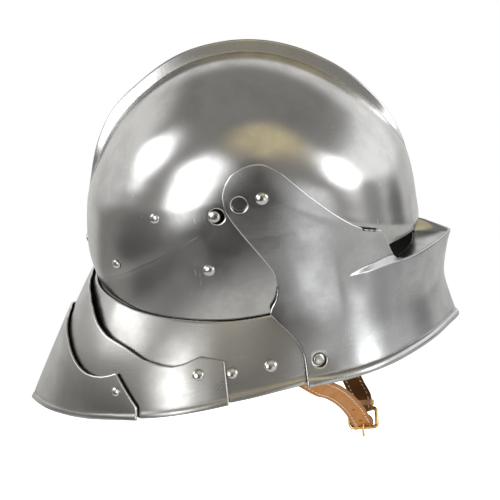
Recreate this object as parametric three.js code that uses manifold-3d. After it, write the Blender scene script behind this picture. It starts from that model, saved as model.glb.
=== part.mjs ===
import * as THREE from 'three';
import { mergeVertices } from 'three/addons/utils/BufferGeometryUtils.js';
import { ConvexGeometry } from 'three/addons/geometries/ConvexGeometry.js';
import Module from 'manifold-3d';

const wasm = await Module();
wasm.setup();

// Frame: millimetres, +X to the front, +Y to the wearer's left, +Z up.
// All shapes are drawn about the centre of the bowl and moved down at the end, so that the origin is in the crown.
const CROWN_INSIDE_Z = 116;

// Plate thicknesses and the gaps between plates
const SKULL_PLATE = 2.0;
const VISOR_PLATE = 1.8;
const LAME_PLATE = 1.6;
const VISOR_GAP = 1.1;
const LAME_GAP = 0.7;

// Bowl: half width, roundness of its cross sections, and the visor pivot that its outline is measured from
const BOWL_HALF_WIDTH = 102;
const BOWL_ROUNDNESS = 2.35;
const PIVOT_X = 12.5;
const PIVOT_Z = 33;

// Outline of the bowl seen from the side, about the pivot. Below the neck the reach only sets the fullness.
// angle above the front in degrees, reach from the pivot, height of the comb on it
const BOWL_OUTLINE = [
  [10, 97.9, 4.9],
  [23, 89.7, 7.5],
  [36, 84.4, 9.2],
  [53, 81.7, 9.3],
  [73, 82.4, 9.2],
  [98, 86.9, 9.0],
  [118, 93.4, 9.0],
  [136, 101.0, 8.2],
  [152, 111.0, 8.0],
  [166, 120.0, 5.2],
  [174, 126.9, 1.8],
  [179.5, 132.3, 0],
  [186, 137.2, 0],
  [197, 146.6, 0],
  [205, 152.2, 0],
  [211, 160.0, 0],
  [220, 175.5, 0],
  [231, 202.0, 0],
  [242, 225.0, 0],
  [256, 232.0, 0],
  [268, 222.0, 0],
  [281, 197.5, 0],
  [291, 173.5, 0],
  [301, 154.0, 0],
  [313, 134.0, 0],
  [323, 125.0, 0],
  [330, 125.6, 0],
  [338, 118.8, 0],
  [346, 113.8, 0],
  [354, 109.5, 0],
  [358.5, 106.6, 1.2],
];

// Comb: height factor at each distance from the middle of the helmet
const COMB_HALF_WIDTH = 3.0;
const COMB_TOP_HALF_WIDTH = 0.9;

// Lower edge of the skull seen from the side: x, z. From the nape round the neck to the brow.
const SKULL_EDGE = [
  [-127.3, -26.0],
  [-122, -27.2],
  [-115, -29.8],
  [-106, -33.2],
  [-95, -37.4],
  [-82, -40.8],
  [-70, -43.0],
  [-54, -46.0],
  [-34, -49.3],
  [-10, -50.4],
  [10, -50.0],
  [30, -49.0],
  [45, -46.5],
  [60, -41.5],
  [78, -34.5],
  [94.7, -28.6],
  [105.8, -28.6],
  [113, -29.0],
  [118.5, -30.0],
  [122.4, -31.0],
];
const FLANGE_FRONT_X = 26;
const FLANGE_DROPS = [4.5, 8, 13];
const FLANGE_CLEARANCE = 1.1;

// Tail and neck lames. Angles run from the back of the helmet round to the front about an axis behind the centre.
const NECK_AXIS_X = -10;
// angle, height of the neck, reach of the rim, height of the rim, outward bow, set-off of lame 2, of lame 3
const NECK_TABLE = [
  [0, -31.0, 180.5, -122.4, 0.10, 4.2, 7.8],
  [10, -31.4, 167.5, -121.0, 0.42, 5.6, 9.4],
  [20, -33.6, 155.5, -119.0, 0.76, 6.8, 10.6],
  [30, -37.0, 147.0, -117.0, 0.86, 6.4, 10.2],
  [40, -42.0, 140.0, -115.0, 0.70, 5.4, 9.0],
  [50, -46.0, 135.5, -113.5, 0.50, 4.4, 7.8],
  [60, -49.3, 129.5, -112.0, 0.38, 3.6, 6.8],
  [70, -52.4, 122.5, -110.8, 0.30, 3.0, 6.2],
  [80, -54.8, 116.5, -109.6, 0.22, 3.0, 6.2],
  [90, -55.4, 113.4, -108.6, 0.15, 3.0, 6.2],
  [100, -55.0, 112.4, -107.8, 0.10, 3.0, 6.2],
  [122, -54.0, 112.6, -107.0, 0.10, 3.0, 6.2],
];
// Upper and lower edges of the lames: angle, height
const LAME_1_BOTTOM = [
  [0, -50],
  [15, -53],
  [30, -70],
  [45, -84],
  [60, -97],
  [70, -102],
  [77, -109.6],
  [84, -109.3],
  [95, -108.2],
  [122, -107.0],
];
const LAME_1_END = 121;
const LAME_2_TOP = [
  [0, -31.5],
  [10, -31.8],
  [17, -35],
  [23, -41.5],
  [29, -51],
  [34, -57.7],
  [42, -65],
  [49, -73],
  [55, -77],
  [59, -78.4],
  [63, -77.4],
  [68.2, -74.2],
  [73, -77.3],
  [78, -80.8],
];
const LAME_2_BOTTOM = [
  [0, -75],
  [20, -88],
  [33, -103],
  [42, -106],
  [48, -113.6],
  [60, -112.0],
  [78, -109.8],
];
const LAME_2_END = 77;
const LAME_3_TOP = [
  [0, -55.3],
  [7, -56.8],
  [13, -61.5],
  [17, -65.3],
  [20.6, -70.9],
  [24.2, -76.8],
  [27, -80.6],
  [30, -83.3],
  [33, -84.3],
  [36, -84.2],
  [38.9, -82.7],
  [41, -80.9],
  [48, -80.9],
];
const LAME_3_TOP_END = 40.6;
const LAME_3_FRONT_END = 48;

// Visor. Angles run from the front about the centre of the bowl.
// angle, shelf edge reach and height, wall reach at three heights, rim reach and height, crease height
const WALL_HIGH_Z = -58;
const WALL_MIDDLE_Z = -78;
const WALL_LOW_Z = -94;
const VISOR_TABLE = [
  [0, 144.7, -45.5, 139.6, 134.4, 135.6, 139.5, -116.0, -41.0],
  [8.4, 136.8, -45.0, 133.6, 129.8, 130.0, 132.0, -115.0, -41.0],
  [16, 130.7, -44.3, 128.5, 125.6, 126.0, 127.8, -114.2, -41.0],
  [24, 126.1, -43.5, 124.5, 122.4, 122.8, 124.9, -113.3, -41.0],
  [30, 122.4, -42.6, 121.4, 120.0, 120.8, 123.0, -112.8, -40.4],
  [36.4, 118.6, -41.5, 118.2, 117.6, 119.0, 121.6, -112.3, -36.4],
  [47, 115.0, -40.0, 114.8, 115.6, 117.8, 120.8, -111.5, -36.6],
  [56.7, 111.4, -38.8, 111.8, 113.8, 116.2, 119.8, -110.8, -37.8],
  [66, 108.6, -38.8, 108.6, 111.4, 113.8, 117.6, -110.2, -37.8],
  [80, 103.6, -38.8, 104.4, 108.4, 111.6, 115.7, -108.4, -37.8],
  [94, 102.5, -38.8, 103.4, 107.6, 111.6, 116.5, -107.8, -37.8],
  [104, 102.5, -38.8, 104.0, 109.0, 113.0, 118.0, -107.6, -37.8],
];
const VISOR_ANGLE_END = 102;
// Behind this angle and below this height the cheek lies over the neck lame.
const CHEEK_ANGLE = 60;
const CHEEK_TOP_Z = -50;
// Outline of one arm and cheek seen from the side: x, z. From the back of the slot round the arm to the lower corner.
const VISOR_OUTLINE = [
  [98.6, -40.6],
  [96.2, -34.4],
  [94.8, -27.6],
  [93.6, -20.4],
  [90.4, -12.6],
  [77.2, -5.7],
  [63.7, 6.6],
  [45.7, 27.0],
  [37.5, 37.0],
  [28.2, 48.3],
  [16.9, 56.4],
  [5.6, 57.1],
  [-5.0, 53.2],
  [-11.2, 46.6],
  [-14.6, 38.6],
  [-14.1, 27.6],
  [-7.1, 11.6],
  [4.6, -10.0],
  [10.6, -22.6],
  [11.8, -34.2],
  [8.6, -43.6],
  [3.2, -52.4],
  [6.6, -58.4],
  [12.2, -65.9],
  [17.4, -74.2],
  [20.4, -81.0],
  [21.6, -89.2],
  [19.6, -120.0],
];
const RIM_ROLL_HEIGHT = 6.5;
const RIM_ROLL_RISE = 1.9;
const RIM_ROLL_INSET = 1.2;
const RIM_ROLL_END = 78;
const BRIDGE_HALF_WIDTH = 4.5;

// Rivets and studs seen from the side: x, z, radius of the head, height of the head
const HOLE_GAP = 0.3;
const SHANK_RADIUS = 1.5;
const RIVETS = [
  // name, plate under the head, x, z, radius and height of the head, depth of the shank
  ['rivet_temple', 'skull', -65.7, 28.0, 3.9, 2.2, 2.6],
  ['rivet_side', 'skull', -34.4, -14.2, 4.4, 2.4, 2.6],
  ['rivet_rear', 'skull', -102.0, -7.0, 3.8, 2.2, 2.6],
  ['rivet_strap', 'lame_1', -3.5, -89.3, 4.8, 2.6, 5.0],
  ['rivet_neck', 'lame_1', -31.8, -89.4, 4.25, 2.3, 2.2],
  ['rivet_lame_2', 'lame_2', -55.8, -85.8, 4.25, 2.3, 6.2],
  ['rivet_lame_3', 'lame_3', -118.5, -93.6, 3.6, 2.0, 7.2],
  ['pivot', 'visor', 12.5, 33.0, 4.6, 2.4, 5.6],
];
const NAPE_RIVET_Z = -2.6;
const ARM_HOLE = [-4.2, 31.2, 6.2];
const CATCH_HOLE = [30.7, -92.1, 5.7];
const CATCH_STUD_RADIUS = 4.3;
const SPRING_STUD_HOLE = [-21.6, 24.4, 6.2];
const SPRING_STUD_RADIUS = 4.3;

// Chin strap
const STRAP_WIDTH = 14;
const STRAP_THICK = 2.2;
// Inside the neck lame: x, z. Then free below the rim: x, distance from the middle, z.
const STRAP_ANCHOR = [[-14, -84.6], [-3.5, -89.3], [7, -94.6]];
const BILLET_PATH = [
  [17, 97.0, -106.5],
  [28.6, 82, -123.3],
  [35.5, 63, -135.5],
  [41.5, 45, -149.2],
  [45.5, 30, -161.6],
  [48.9, 18.5, -173.1],
  [50.9, 10.6, -183.0],
  [51.7, 8.4, -188.2],
  [52.2, 7.5, -192.8],
  [52.4, 5.3, -196.6],
  [52.7, 2.0, -197.0],
  [52.9, -0.9, -194.4],
  [53.1, -2.6, -190.2],
  [53.4, -4.2, -186.4],
];
const BILLET_HOLES = [0.5, 0.6, 0.7];
const BUCKLE_STRAP_PATH = [
  [17, 97.0, -106.5],
  [28.6, 82, -123.3],
  [36.5, 63, -136.0],
  [43.5, 45, -149.5],
  [48.5, 30, -159.5],
  [51.6, 19, -166.5],
  [54.0, 10, -170.2],
  [55.2, 5.5, -172.8],
];
const BUCKLE_CENTRE = [53.4, -0.4, -186.2];
const BUCKLE_HALF_WIDTH = 10.6;
const BUCKLE_HALF_LENGTH = 7.4;
const BUCKLE_WIRE = 1.5;
const TONGUE_RADIUS = 1.1;
const TONGUE_OVERHANG = 7.4;
const BAR_ROOM_HALF_LENGTH = 14;
const FOLD_HALF_THICK = 2.5;
const KEEPER_HALF = 2.2;
const KEEPER_RISE = 4.4;

const half = (value) => value / 2;
const radians = (degrees) => (degrees * Math.PI) / 180;
const degreesOf = (value) => (value * 180) / Math.PI;

// A smooth curve through the rows of a table, read at one value of its first column.
function smoothColumn(rows, column, at) {
  let i = rows.length - 2;
  while (i > 0 && rows[i][0] > at) {
    i -= 1;
  }
  const slope = (k) => {
    const a = rows[Math.max(0, k - 1)];
    const b = rows[Math.min(rows.length - 1, k + 1)];
    return (b[column] - a[column]) / (b[0] - a[0]);
  };
  const a = rows[i];
  const b = rows[i + 1];
  const span = b[0] - a[0];
  const t = Math.min(1, Math.max(0, (at - a[0]) / span));
  const t2 = t * t;
  const t3 = t2 * t;
  return (2 * t3 - 3 * t2 + 1) * a[column] + (t3 - 2 * t2 + t) * span * slope(i)
    + (3 * t2 - 2 * t3) * b[column] + (t3 - t2) * span * slope(i + 1);
}

function straightColumn(rows, column, at) {
  let i = rows.length - 2;
  while (i > 0 && rows[i][0] > at) {
    i -= 1;
  }
  const t = Math.min(1, Math.max(0, (at - rows[i][0]) / (rows[i + 1][0] - rows[i][0])));
  return rows[i][column] + (rows[i + 1][column] - rows[i][column]) * t;
}

const firstOutlineRow = BOWL_OUTLINE[0];
const lastOutlineRow = BOWL_OUTLINE[BOWL_OUTLINE.length - 1];
const CLOSED_OUTLINE = [
  [lastOutlineRow[0] - 360, lastOutlineRow[1], lastOutlineRow[2]],
  ...BOWL_OUTLINE,
  [firstOutlineRow[0] + 360, firstOutlineRow[1], firstOutlineRow[2]],
];

function outlineAngle(x, z) {
  const angle = degreesOf(Math.atan2(z - PIVOT_Z, x - PIVOT_X));
  return angle < 0 ? angle + 360 : angle;
}

// Half width of the bowl at a share of the reach: a rounded ellipse, negative outside the outline.
function bowlHalfWidth(share) {
  const rest = 1 - share ** BOWL_ROUNDNESS;
  return Math.sign(rest) * BOWL_HALF_WIDTH * Math.abs(rest) ** (1 / BOWL_ROUNDNESS);
}

function bowlDepth(x, y, z) {
  const share = Math.hypot(x - PIVOT_X, z - PIVOT_Z) / smoothColumn(CLOSED_OUTLINE, 1, outlineAngle(x, z));
  return bowlHalfWidth(share) - Math.abs(y);
}

// Reach of the first lame's outer face from the neck axis, in one direction and at one height.
function neckReach(angle, z) {
  const neckZ = smoothColumn(NECK_TABLE, 1, angle);
  const neckPoint = reachAlong(NECK_AXIS_X, radians(180 - angle), neckZ, bowlDepth) + LAME_GAP + LAME_PLATE;
  const rimReach = smoothColumn(NECK_TABLE, 2, angle);
  const rimZ = smoothColumn(NECK_TABLE, 3, angle);
  const share = (z - neckZ) / (rimZ - neckZ);
  const bow = smoothColumn(NECK_TABLE, 4, angle) * share * (1 - share);
  return neckPoint + (rimReach - neckPoint) * (share + bow);
}

// How far a point lies inside the first lame's outer face.
function tailDepth(x, y, z) {
  const angle = degreesOf(Math.atan2(Math.abs(y), NECK_AXIS_X - x));
  return neckReach(Math.min(angle, LAME_1_END), z) - Math.hypot(x - NECK_AXIS_X, y);
}

// Distance from an upright axis, in one direction, at which a depth function crosses zero.
function reachAlong(axisX, direction, z, depth) {
  let near = 30;
  let far = 260;
  for (let step = 0; step < 40; step += 1) {
    const middle = half(near + far);
    if (depth(axisX + middle * Math.cos(direction), middle * Math.sin(direction), z) > 0) {
      near = middle;
    } else {
      far = middle;
    }
  }
  return near;
}

// A plate: an open outer face of points and triangles, given a matching inner face and closed round its edges.
function closePlate(outer, inner, faces) {
  const edges = new Map();
  for (const [a, b, c] of faces) {
    for (const [p, q] of [[a, b], [b, c], [c, a]]) {
      edges.set(p + '_' + q, [p, q]);
    }
  }
  const count = outer.length;
  const all = faces.map((face) => [...face]);
  for (const [a, b, c] of faces) {
    all.push([a + count, c + count, b + count]);
  }
  for (const [p, q] of edges.values()) {
    if (!edges.has(q + '_' + p)) {
      all.push([q, p, p + count], [q, p + count, q + count]);
    }
  }
  return solidOf([...outer, ...inner], all);
}

// A manifold solid from points and triangles.
function solidOf(points, faces) {
  const vertProperties = new Float32Array(points.flat());
  const triVerts = new Uint32Array(faces.flat());
  const mesh = new wasm.Mesh({ numProp: 3, vertProperties, triVerts });
  mesh.merge();
  return new wasm.Manifold(mesh);
}

function normalsOf(points, faces) {
  const normals = points.map(() => new THREE.Vector3());
  const corners = points.map((point) => new THREE.Vector3(...point));
  for (const [a, b, c] of faces) {
    const across = corners[b].clone().sub(corners[a]).cross(corners[c].clone().sub(corners[a]));
    normals[a].add(across);
    normals[b].add(across);
    normals[c].add(across);
  }
  return normals.map((normal) => normal.normalize());
}

function moveAlong(points, normals, distance) {
  return points.map((point, i) => [
    point[0] + normals[i].x * distance,
    point[1] + normals[i].y * distance,
    point[2] + normals[i].z * distance,
  ]);
}

function gridFaces(columns, rows, wrap) {
  const faces = [];
  for (let i = 0; i < (wrap ? columns : columns - 1); i += 1) {
    for (let j = 0; j < rows - 1; j += 1) {
      const a = i * rows + j;
      const b = ((i + 1) % columns) * rows + j;
      faces.push([a, b, b + 1], [a, b + 1, a + 1]);
    }
  }
  return faces;
}

function manifoldOf(geometry) {
  const bare = geometry.clone();
  bare.deleteAttribute('normal');
  bare.deleteAttribute('uv');
  const merged = mergeVertices(bare, 1e-4);
  const mesh = new wasm.Mesh({
    numProp: 3,
    vertProperties: new Float32Array(merged.attributes.position.array),
    triVerts: new Uint32Array(merged.index.array),
  });
  return new wasm.Manifold(mesh);
}

function geometryOf(solid) {
  const mesh = solid.getMesh();
  const geometry = new THREE.BufferGeometry();
  geometry.setAttribute('position', new THREE.BufferAttribute(new Float32Array(mesh.vertProperties), 3));
  geometry.setIndex(new THREE.BufferAttribute(new Uint32Array(mesh.triVerts), 1));
  const flat = geometry.toNonIndexed();
  flat.computeVertexNormals();
  return flat;
}

const finishes = {
  steel: new THREE.MeshStandardMaterial({ color: 0xb9bcc0, roughness: 0.32, metalness: 1 }),
  brass: new THREE.MeshStandardMaterial({ color: 0xb98a3e, roughness: 0.35, metalness: 1 }),
  leather: new THREE.MeshStandardMaterial({ color: 0xb07432, roughness: 0.7, metalness: 0 }),
};

const sallet = new THREE.Group();
sallet.name = 'sallet';

function addPiece(name, solid, finish) {
  const geometry = geometryOf(solid);
  geometry.translate(0, 0, -CROWN_INSIDE_Z);
  const mesh = new THREE.Mesh(geometry, finishes[finish]);
  mesh.name = name;
  sallet.add(mesh);
}

// A round bar with its axis along a normal, centred on a point.
function roundBar(point, normal, radius, length, segments) {
  const geometry = new THREE.CylinderGeometry(radius, radius, length, segments);
  geometry.applyQuaternion(new THREE.Quaternion().setFromUnitVectors(new THREE.Vector3(0, 1, 0), normal));
  geometry.translate(point.x, point.y, point.z);
  return manifoldOf(geometry);
}

// A domed rivet: head on the outside of the plates, shank through them.
function domedRivet(point, normal, radius, height, depth) {
  const profile = [
    [0, -depth],
    [SHANK_RADIUS, -depth],
    [SHANK_RADIUS, HOLE_GAP],
    [radius, HOLE_GAP],
    [radius * 0.92, height * 0.45],
    [radius * 0.6, height * 0.86],
    [0, height],
  ];
  const geometry = new THREE.LatheGeometry(profile.map(([x, y]) => new THREE.Vector2(x, y)), 9);
  geometry.applyQuaternion(new THREE.Quaternion().setFromUnitVectors(new THREE.Vector3(0, 1, 0), normal));
  geometry.translate(point.x, point.y, point.z);
  return manifoldOf(geometry);
}

// A point of a surface at one place seen from the side, with its outward normal.
function surfacePoint(depth, x, z, side) {
  let near = 0;
  let far = 160;
  for (let step = 0; step < 40; step += 1) {
    const middle = half(near + far);
    if (depth(x, middle, z) > 0) {
      near = middle;
    } else {
      far = middle;
    }
  }
  const at = (dx, dy, dz) => depth(x + dx, near + dy, z + dz);
  const normal = new THREE.Vector3(at(-1, 0, 0) - at(1, 0, 0), at(0, -1, 0) - at(0, 1, 0), at(0, 0, -1) - at(0, 0, 1));
  normal.normalize();
  return {
    point: new THREE.Vector3(x, near * side, z),
    normal: new THREE.Vector3(normal.x, normal.y * side, normal.z),
  };
}

// Skull. Each side is a fan of rays from the pivot to the outline or to the lower edge.
const SKULL_ROW_HALF_WIDTHS = [0, COMB_TOP_HALF_WIDTH, COMB_HALF_WIDTH, 16, 36, 58, 78, 92, 99];
const edgeRows = SKULL_EDGE.map(([x, z]) => [outlineAngle(x, z), Math.hypot(x - PIVOT_X, z - PIVOT_Z)]);
const NAPE_ANGLE = edgeRows[0][0];
const BROW_ANGLE = edgeRows[edgeRows.length - 1][0];
const CROWN_STEPS = 27;

// One point of the skull: on the smooth bowl, and raised on to the comb.
function skullPoint(angle, row) {
  const reach = smoothColumn(CLOSED_OUTLINE, 1, angle);
  const onEdge = angle > NAPE_ANGLE && angle < BROW_ANGLE;
  const limit = onEdge ? Math.min(1, straightColumn(edgeRows, 1, angle) / reach) : 1;
  const edgeHalfWidth = onEdge ? bowlHalfWidth(limit) : 0;
  const y = Math.max(edgeHalfWidth, SKULL_ROW_HALF_WIDTHS[row]);
  const share = (1 - (y / BOWL_HALF_WIDTH) ** BOWL_ROUNDNESS) ** (1 / BOWL_ROUNDNESS);
  const x = PIVOT_X + reach * share * Math.cos(radians(angle));
  const z = PIVOT_Z + reach * share * Math.sin(radians(angle));
  const flank = Math.min(1, Math.max(0, (COMB_HALF_WIDTH - y) / (COMB_HALF_WIDTH - COMB_TOP_HALF_WIDTH)));
  const rise = Math.max(0, smoothColumn(CLOSED_OUTLINE, 2, angle)) * (0.9 * flank + (y < 0.1 ? 0.1 : 0));
  const size = Math.hypot(x, z);
  return { plain: [x, y, z], combed: [x + (x / size) * rise, y, z + (z / size) * rise] };
}

// The whole outer face of the skull, with the smooth bowl's points beside the combed ones.
function skullFace() {
  const angles = edgeRows.map(([angle]) => angle);
  const crownSweep = 360 - BROW_ANGLE + NAPE_ANGLE;
  for (let i = 1; i < CROWN_STEPS; i += 1) {
    angles.push((BROW_ANGLE + (crownSweep * i) / CROWN_STEPS) % 360);
  }
  const rows = SKULL_ROW_HALF_WIDTHS.length;
  const plain = [];
  const combed = [];
  const faces = [];
  const add = (bare, raised, side) => {
    plain.push([bare[0], bare[1] * side, bare[2]]);
    combed.push([raised[0], raised[1] * side, raised[2]]);
  };
  for (const side of [1, -1]) {
    const start = plain.length;
    for (const angle of angles) {
      for (let row = 0; row < rows; row += 1) {
        const place = skullPoint(angle, row);
        add(place.plain, place.combed, side);
      }
    }
    const pole = plain.length;
    const poleAt = [PIVOT_X, BOWL_HALF_WIDTH, PIVOT_Z];
    add(poleAt, poleAt, side);
    const sideFaces = gridFaces(angles.length, rows, true).map((face) => face.map((index) => index + start));
    for (let i = 0; i < angles.length; i += 1) {
      const next = (i + 1) % angles.length;
      sideFaces.push([start + i * rows + rows - 1, start + next * rows + rows - 1, pole]);
    }
    const flangeStart = plain.length;
    const flangeAngles = edgeRows.filter((row, i) => SKULL_EDGE[i][0] <= FLANGE_FRONT_X).map(([angle]) => angle);
    for (const angle of flangeAngles) {
      const top = skullPoint(angle, 0).plain;
      const around = Math.atan2(top[1], NECK_AXIS_X - top[0]);
      add(top, top, side);
      for (const drop of FLANGE_DROPS) {
        const reach = neckReach(degreesOf(around), top[2] - drop) - LAME_PLATE - LAME_GAP - FLANGE_CLEARANCE;
        const low = [NECK_AXIS_X - reach * Math.cos(around), reach * Math.sin(around), top[2] - drop];
        add(low, low, side);
      }
    }
    for (const [a, b, c] of gridFaces(flangeAngles.length, FLANGE_DROPS.length + 1, false)) {
      sideFaces.push([a + flangeStart, c + flangeStart, b + flangeStart]);
    }
    for (const [a, b, c] of sideFaces) {
      faces.push(side > 0 ? [a, c, b] : [a, b, c]);
    }
  }
  return weld(plain, combed, faces);
}

// Joins points that lie in the same place and drops triangles that have collapsed.
function weld(points, partners, faces) {
  const places = new Map();
  const kept = [];
  const keptPartners = [];
  const indices = points.map((point, i) => {
    const key = point.map((value) => Math.round(value * 200) + 0).join(' ');
    if (!places.has(key)) {
      places.set(key, kept.length);
      kept.push(point);
      keptPartners.push(partners[i]);
    }
    return places.get(key);
  });
  const keptFaces = faces
    .map((face) => face.map((index) => indices[index]))
    .filter(([a, b, c]) => a !== b && b !== c && c !== a);
  return { points: kept, partners: keptPartners, faces: keptFaces };
}

// Plate from an outer face only: the inner face lies one thickness inside it.
function plateOf(points, faces, thickness) {
  return closePlate(points, moveAlong(points, normalsOf(points, faces), -thickness), faces);
}

const skull = skullFace();
const skullInner = moveAlong(skull.points, normalsOf(skull.points, skull.faces), -SKULL_PLATE);
let skullSolid = closePlate(skull.partners, skullInner, skull.faces);

// Lames. Each is a grid from the middle of the back to its two front ends, from its upper edge to its lower edge.
// A lame's end angle may differ at the top and at the bottom; its lower border stands out a little.
const LAME_COLUMNS = 14;
const LAME_LEVELS = [0, 0.33, 0.67, 1];

function lameFace(topOf, bottomOf, endTop, endBottom, setOff) {
  const points = [];
  for (let i = -LAME_COLUMNS; i <= LAME_COLUMNS; i += 1) {
    for (const level of LAME_LEVELS) {
      const end = endTop + (endBottom - endTop) * Math.min(1, level * 1.4);
      const angle = (Math.abs(i) / LAME_COLUMNS) * end;
      const z = topOf(angle) + (bottomOf(angle) - topOf(angle)) * level;
      const reach = neckReach(angle, z) + setOff(angle);
      const side = i < 0 ? -1 : 1;
      points.push([NECK_AXIS_X - reach * Math.cos(radians(angle)), side * reach * Math.sin(radians(angle)), z]);
    }
  }
  return { points, faces: gridFaces(2 * LAME_COLUMNS + 1, LAME_LEVELS.length, false) };
}

const tableAt = (rows, column) => (angle) => smoothColumn(rows, column, angle);
const edgeAt = (rows) => (angle) => straightColumn(rows, 1, angle);
const neckHeight = tableAt(NECK_TABLE, 1);
const rimHeight = tableAt(NECK_TABLE, 3);
const lame1Face = lameFace(neckHeight, edgeAt(LAME_1_BOTTOM), LAME_1_END, LAME_1_END, () => 0);
const lame2Face = lameFace(edgeAt(LAME_2_TOP), edgeAt(LAME_2_BOTTOM), LAME_2_END, LAME_2_END, tableAt(NECK_TABLE, 5));
const lame3Face = lameFace(edgeAt(LAME_3_TOP), rimHeight, LAME_3_TOP_END, LAME_3_FRONT_END, tableAt(NECK_TABLE, 6));
let lame1Solid = plateOf(lame1Face.points, lame1Face.faces, LAME_PLATE);
let lame2Solid = plateOf(lame2Face.points, lame2Face.faces, LAME_PLATE);
let lame3Solid = plateOf(lame3Face.points, lame3Face.faces, LAME_PLATE);

// Visor. A grid from one cheek round the front to the other; the outline of the arms is cut from it afterwards.
const VISOR_COLUMNS = 20;
const ARM_LEVELS = [60, 46, 32, 18, 4, -10, -22];

function visorReach(angle, z, column) {
  const table = smoothColumn(VISOR_TABLE, column, angle);
  const overLame = reachAlong(0, radians(angle), z, tailDepth) + VISOR_GAP + VISOR_PLATE;
  return angle > CHEEK_ANGLE && z < CHEEK_TOP_Z ? Math.max(table, overLame) : table;
}

function visorFace() {
  const points = [];
  for (let i = -VISOR_COLUMNS; i <= VISOR_COLUMNS; i += 1) {
    const angle = (Math.abs(i) / VISOR_COLUMNS) * VISOR_ANGLE_END;
    const side = i < 0 ? -1 : 1;
    const add = (reach, z) => points.push([reach * Math.cos(radians(angle)), side * reach * Math.sin(radians(angle)), z]);
    const onBowl = (z) => reachAlong(0, radians(angle), z, bowlDepth) + VISOR_GAP + VISOR_PLATE;
    for (const z of ARM_LEVELS) {
      add(onBowl(z), z);
    }
    const creaseZ = smoothColumn(VISOR_TABLE, 8, angle);
    add(onBowl(creaseZ), creaseZ);
    const edgeZ = smoothColumn(VISOR_TABLE, 2, angle);
    add(Math.max(smoothColumn(VISOR_TABLE, 1, angle), onBowl(edgeZ)), edgeZ);
    add(visorReach(angle, WALL_HIGH_Z, 3), WALL_HIGH_Z);
    add(visorReach(angle, WALL_MIDDLE_Z, 4), WALL_MIDDLE_Z);
    add(visorReach(angle, WALL_LOW_Z, 5), WALL_LOW_Z);
    const rimZ = smoothColumn(VISOR_TABLE, 7, angle);
    const rimReach = visorReach(angle, rimZ, 6);
    const roll = angle < RIM_ROLL_END ? RIM_ROLL_RISE : 0;
    const rollReach = visorReach(angle, rimZ + RIM_ROLL_HEIGHT, 6) - RIM_ROLL_INSET;
    add(rollReach, rimZ + RIM_ROLL_HEIGHT);
    add(half(rollReach + rimReach) + roll, rimZ + half(RIM_ROLL_HEIGHT));
    add(rimReach, rimZ);
  }
  const rows = points.length / (2 * VISOR_COLUMNS + 1);
  const faces = gridFaces(2 * VISOR_COLUMNS + 1, rows, false).map(([a, b, c]) => [a, c, b]);
  return { points, faces };
}

const visorGrid = visorFace();
let visorSolid = plateOf(visorGrid.points, visorGrid.faces, VISOR_PLATE);

// A prism across the helmet from an outline seen from the side.
function acrossPrism(outline) {
  const shape = new THREE.Shape(outline.map(([x, z]) => new THREE.Vector2(x, z)));
  const geometry = new THREE.ExtrudeGeometry(shape, { depth: 400, bevelEnabled: false });
  geometry.translate(0, 0, -200);
  geometry.rotateX(Math.PI / 2);
  return manifoldOf(geometry);
}
const FAR_X = 170;
const SLOT_OUTER_Z = VISOR_OUTLINE[0][1];
const BELOW_RIM_Z = VISOR_OUTLINE[VISOR_OUTLINE.length - 1][1];
visorSolid = visorSolid.intersect(acrossPrism([[FAR_X, SLOT_OUTER_Z], ...VISOR_OUTLINE, [FAR_X, BELOW_RIM_Z]]));

// Bridge: the shelf rises in the middle to rest against the brow.
const BRIDGE_CORNERS = [
  [123.3, 0, -30.8],
  [123.3, BRIDGE_HALF_WIDTH, -34.5],
  [124.6, BRIDGE_HALF_WIDTH, -42.4],
  [130.0, 6.5, -43.6],
  [143.6, 0, -45.2],
  [142.0, 0, -47.0],
];
const bridgePoints = [];
for (const [x, y, z] of BRIDGE_CORNERS) {
  bridgePoints.push(new THREE.Vector3(x, y, z), new THREE.Vector3(x, -y, z));
}
visorSolid = visorSolid.add(manifoldOf(new ConvexGeometry(bridgePoints)));

// Rivets and their holes
const fixings = [];
const lameDepth = (column) => (x, y, z) => {
  const angle = degreesOf(Math.atan2(Math.abs(y), NECK_AXIS_X - x));
  return tailDepth(x, y, z) + smoothColumn(NECK_TABLE, column, Math.min(angle, LAME_1_END));
};
const visorDepth = (x, y, z) => bowlDepth(x, y, z) + VISOR_GAP + VISOR_PLATE;
const SURFACES = { skull: bowlDepth, lame_1: tailDepth, lame_2: lameDepth(5), lame_3: lameDepth(6), visor: visorDepth };
const SIDES = [[-1, 'right'], [1, 'left']];
const HOLE_LENGTH = 26;

function drillThrough(solid, spot, radius) {
  return solid.subtract(roundBar(spot.point, spot.normal, radius, HOLE_LENGTH, 10));
}

const shankHole = (solid, spot) => drillThrough(solid, spot, SHANK_RADIUS + HOLE_GAP);
for (const [name, surface, x, z, radius, height, depth] of RIVETS) {
  for (const [side, sideName] of SIDES) {
    const spot = surfacePoint(SURFACES[surface], x, z, side);
    fixings.push({ name: name + '_' + sideName, solid: domedRivet(spot.point, spot.normal, radius, height, depth) });
    if (surface === 'skull') {
      skullSolid = shankHole(skullSolid, spot);
    }
    if (surface === 'visor') {
      skullSolid = shankHole(skullSolid, spot);
      visorSolid = shankHole(visorSolid, spot);
    }
    if (surface === 'lame_1' || surface === 'lame_2') {
      lame1Solid = shankHole(lame1Solid, spot);
    }
    if (surface === 'lame_2' || surface === 'lame_3') {
      lame2Solid = shankHole(lame2Solid, spot);
    }
    if (surface === 'lame_3') {
      lame3Solid = shankHole(lame3Solid, spot);
    }
  }
}
const napeReach = smoothColumn(CLOSED_OUTLINE, 1, outlineAngle(-128, NAPE_RIVET_Z));
const napeSpot = {
  point: new THREE.Vector3(PIVOT_X + napeReach * Math.cos(radians(outlineAngle(-128, NAPE_RIVET_Z))), 0, NAPE_RIVET_Z),
  normal: new THREE.Vector3(-1, 0, 0),
};
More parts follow.
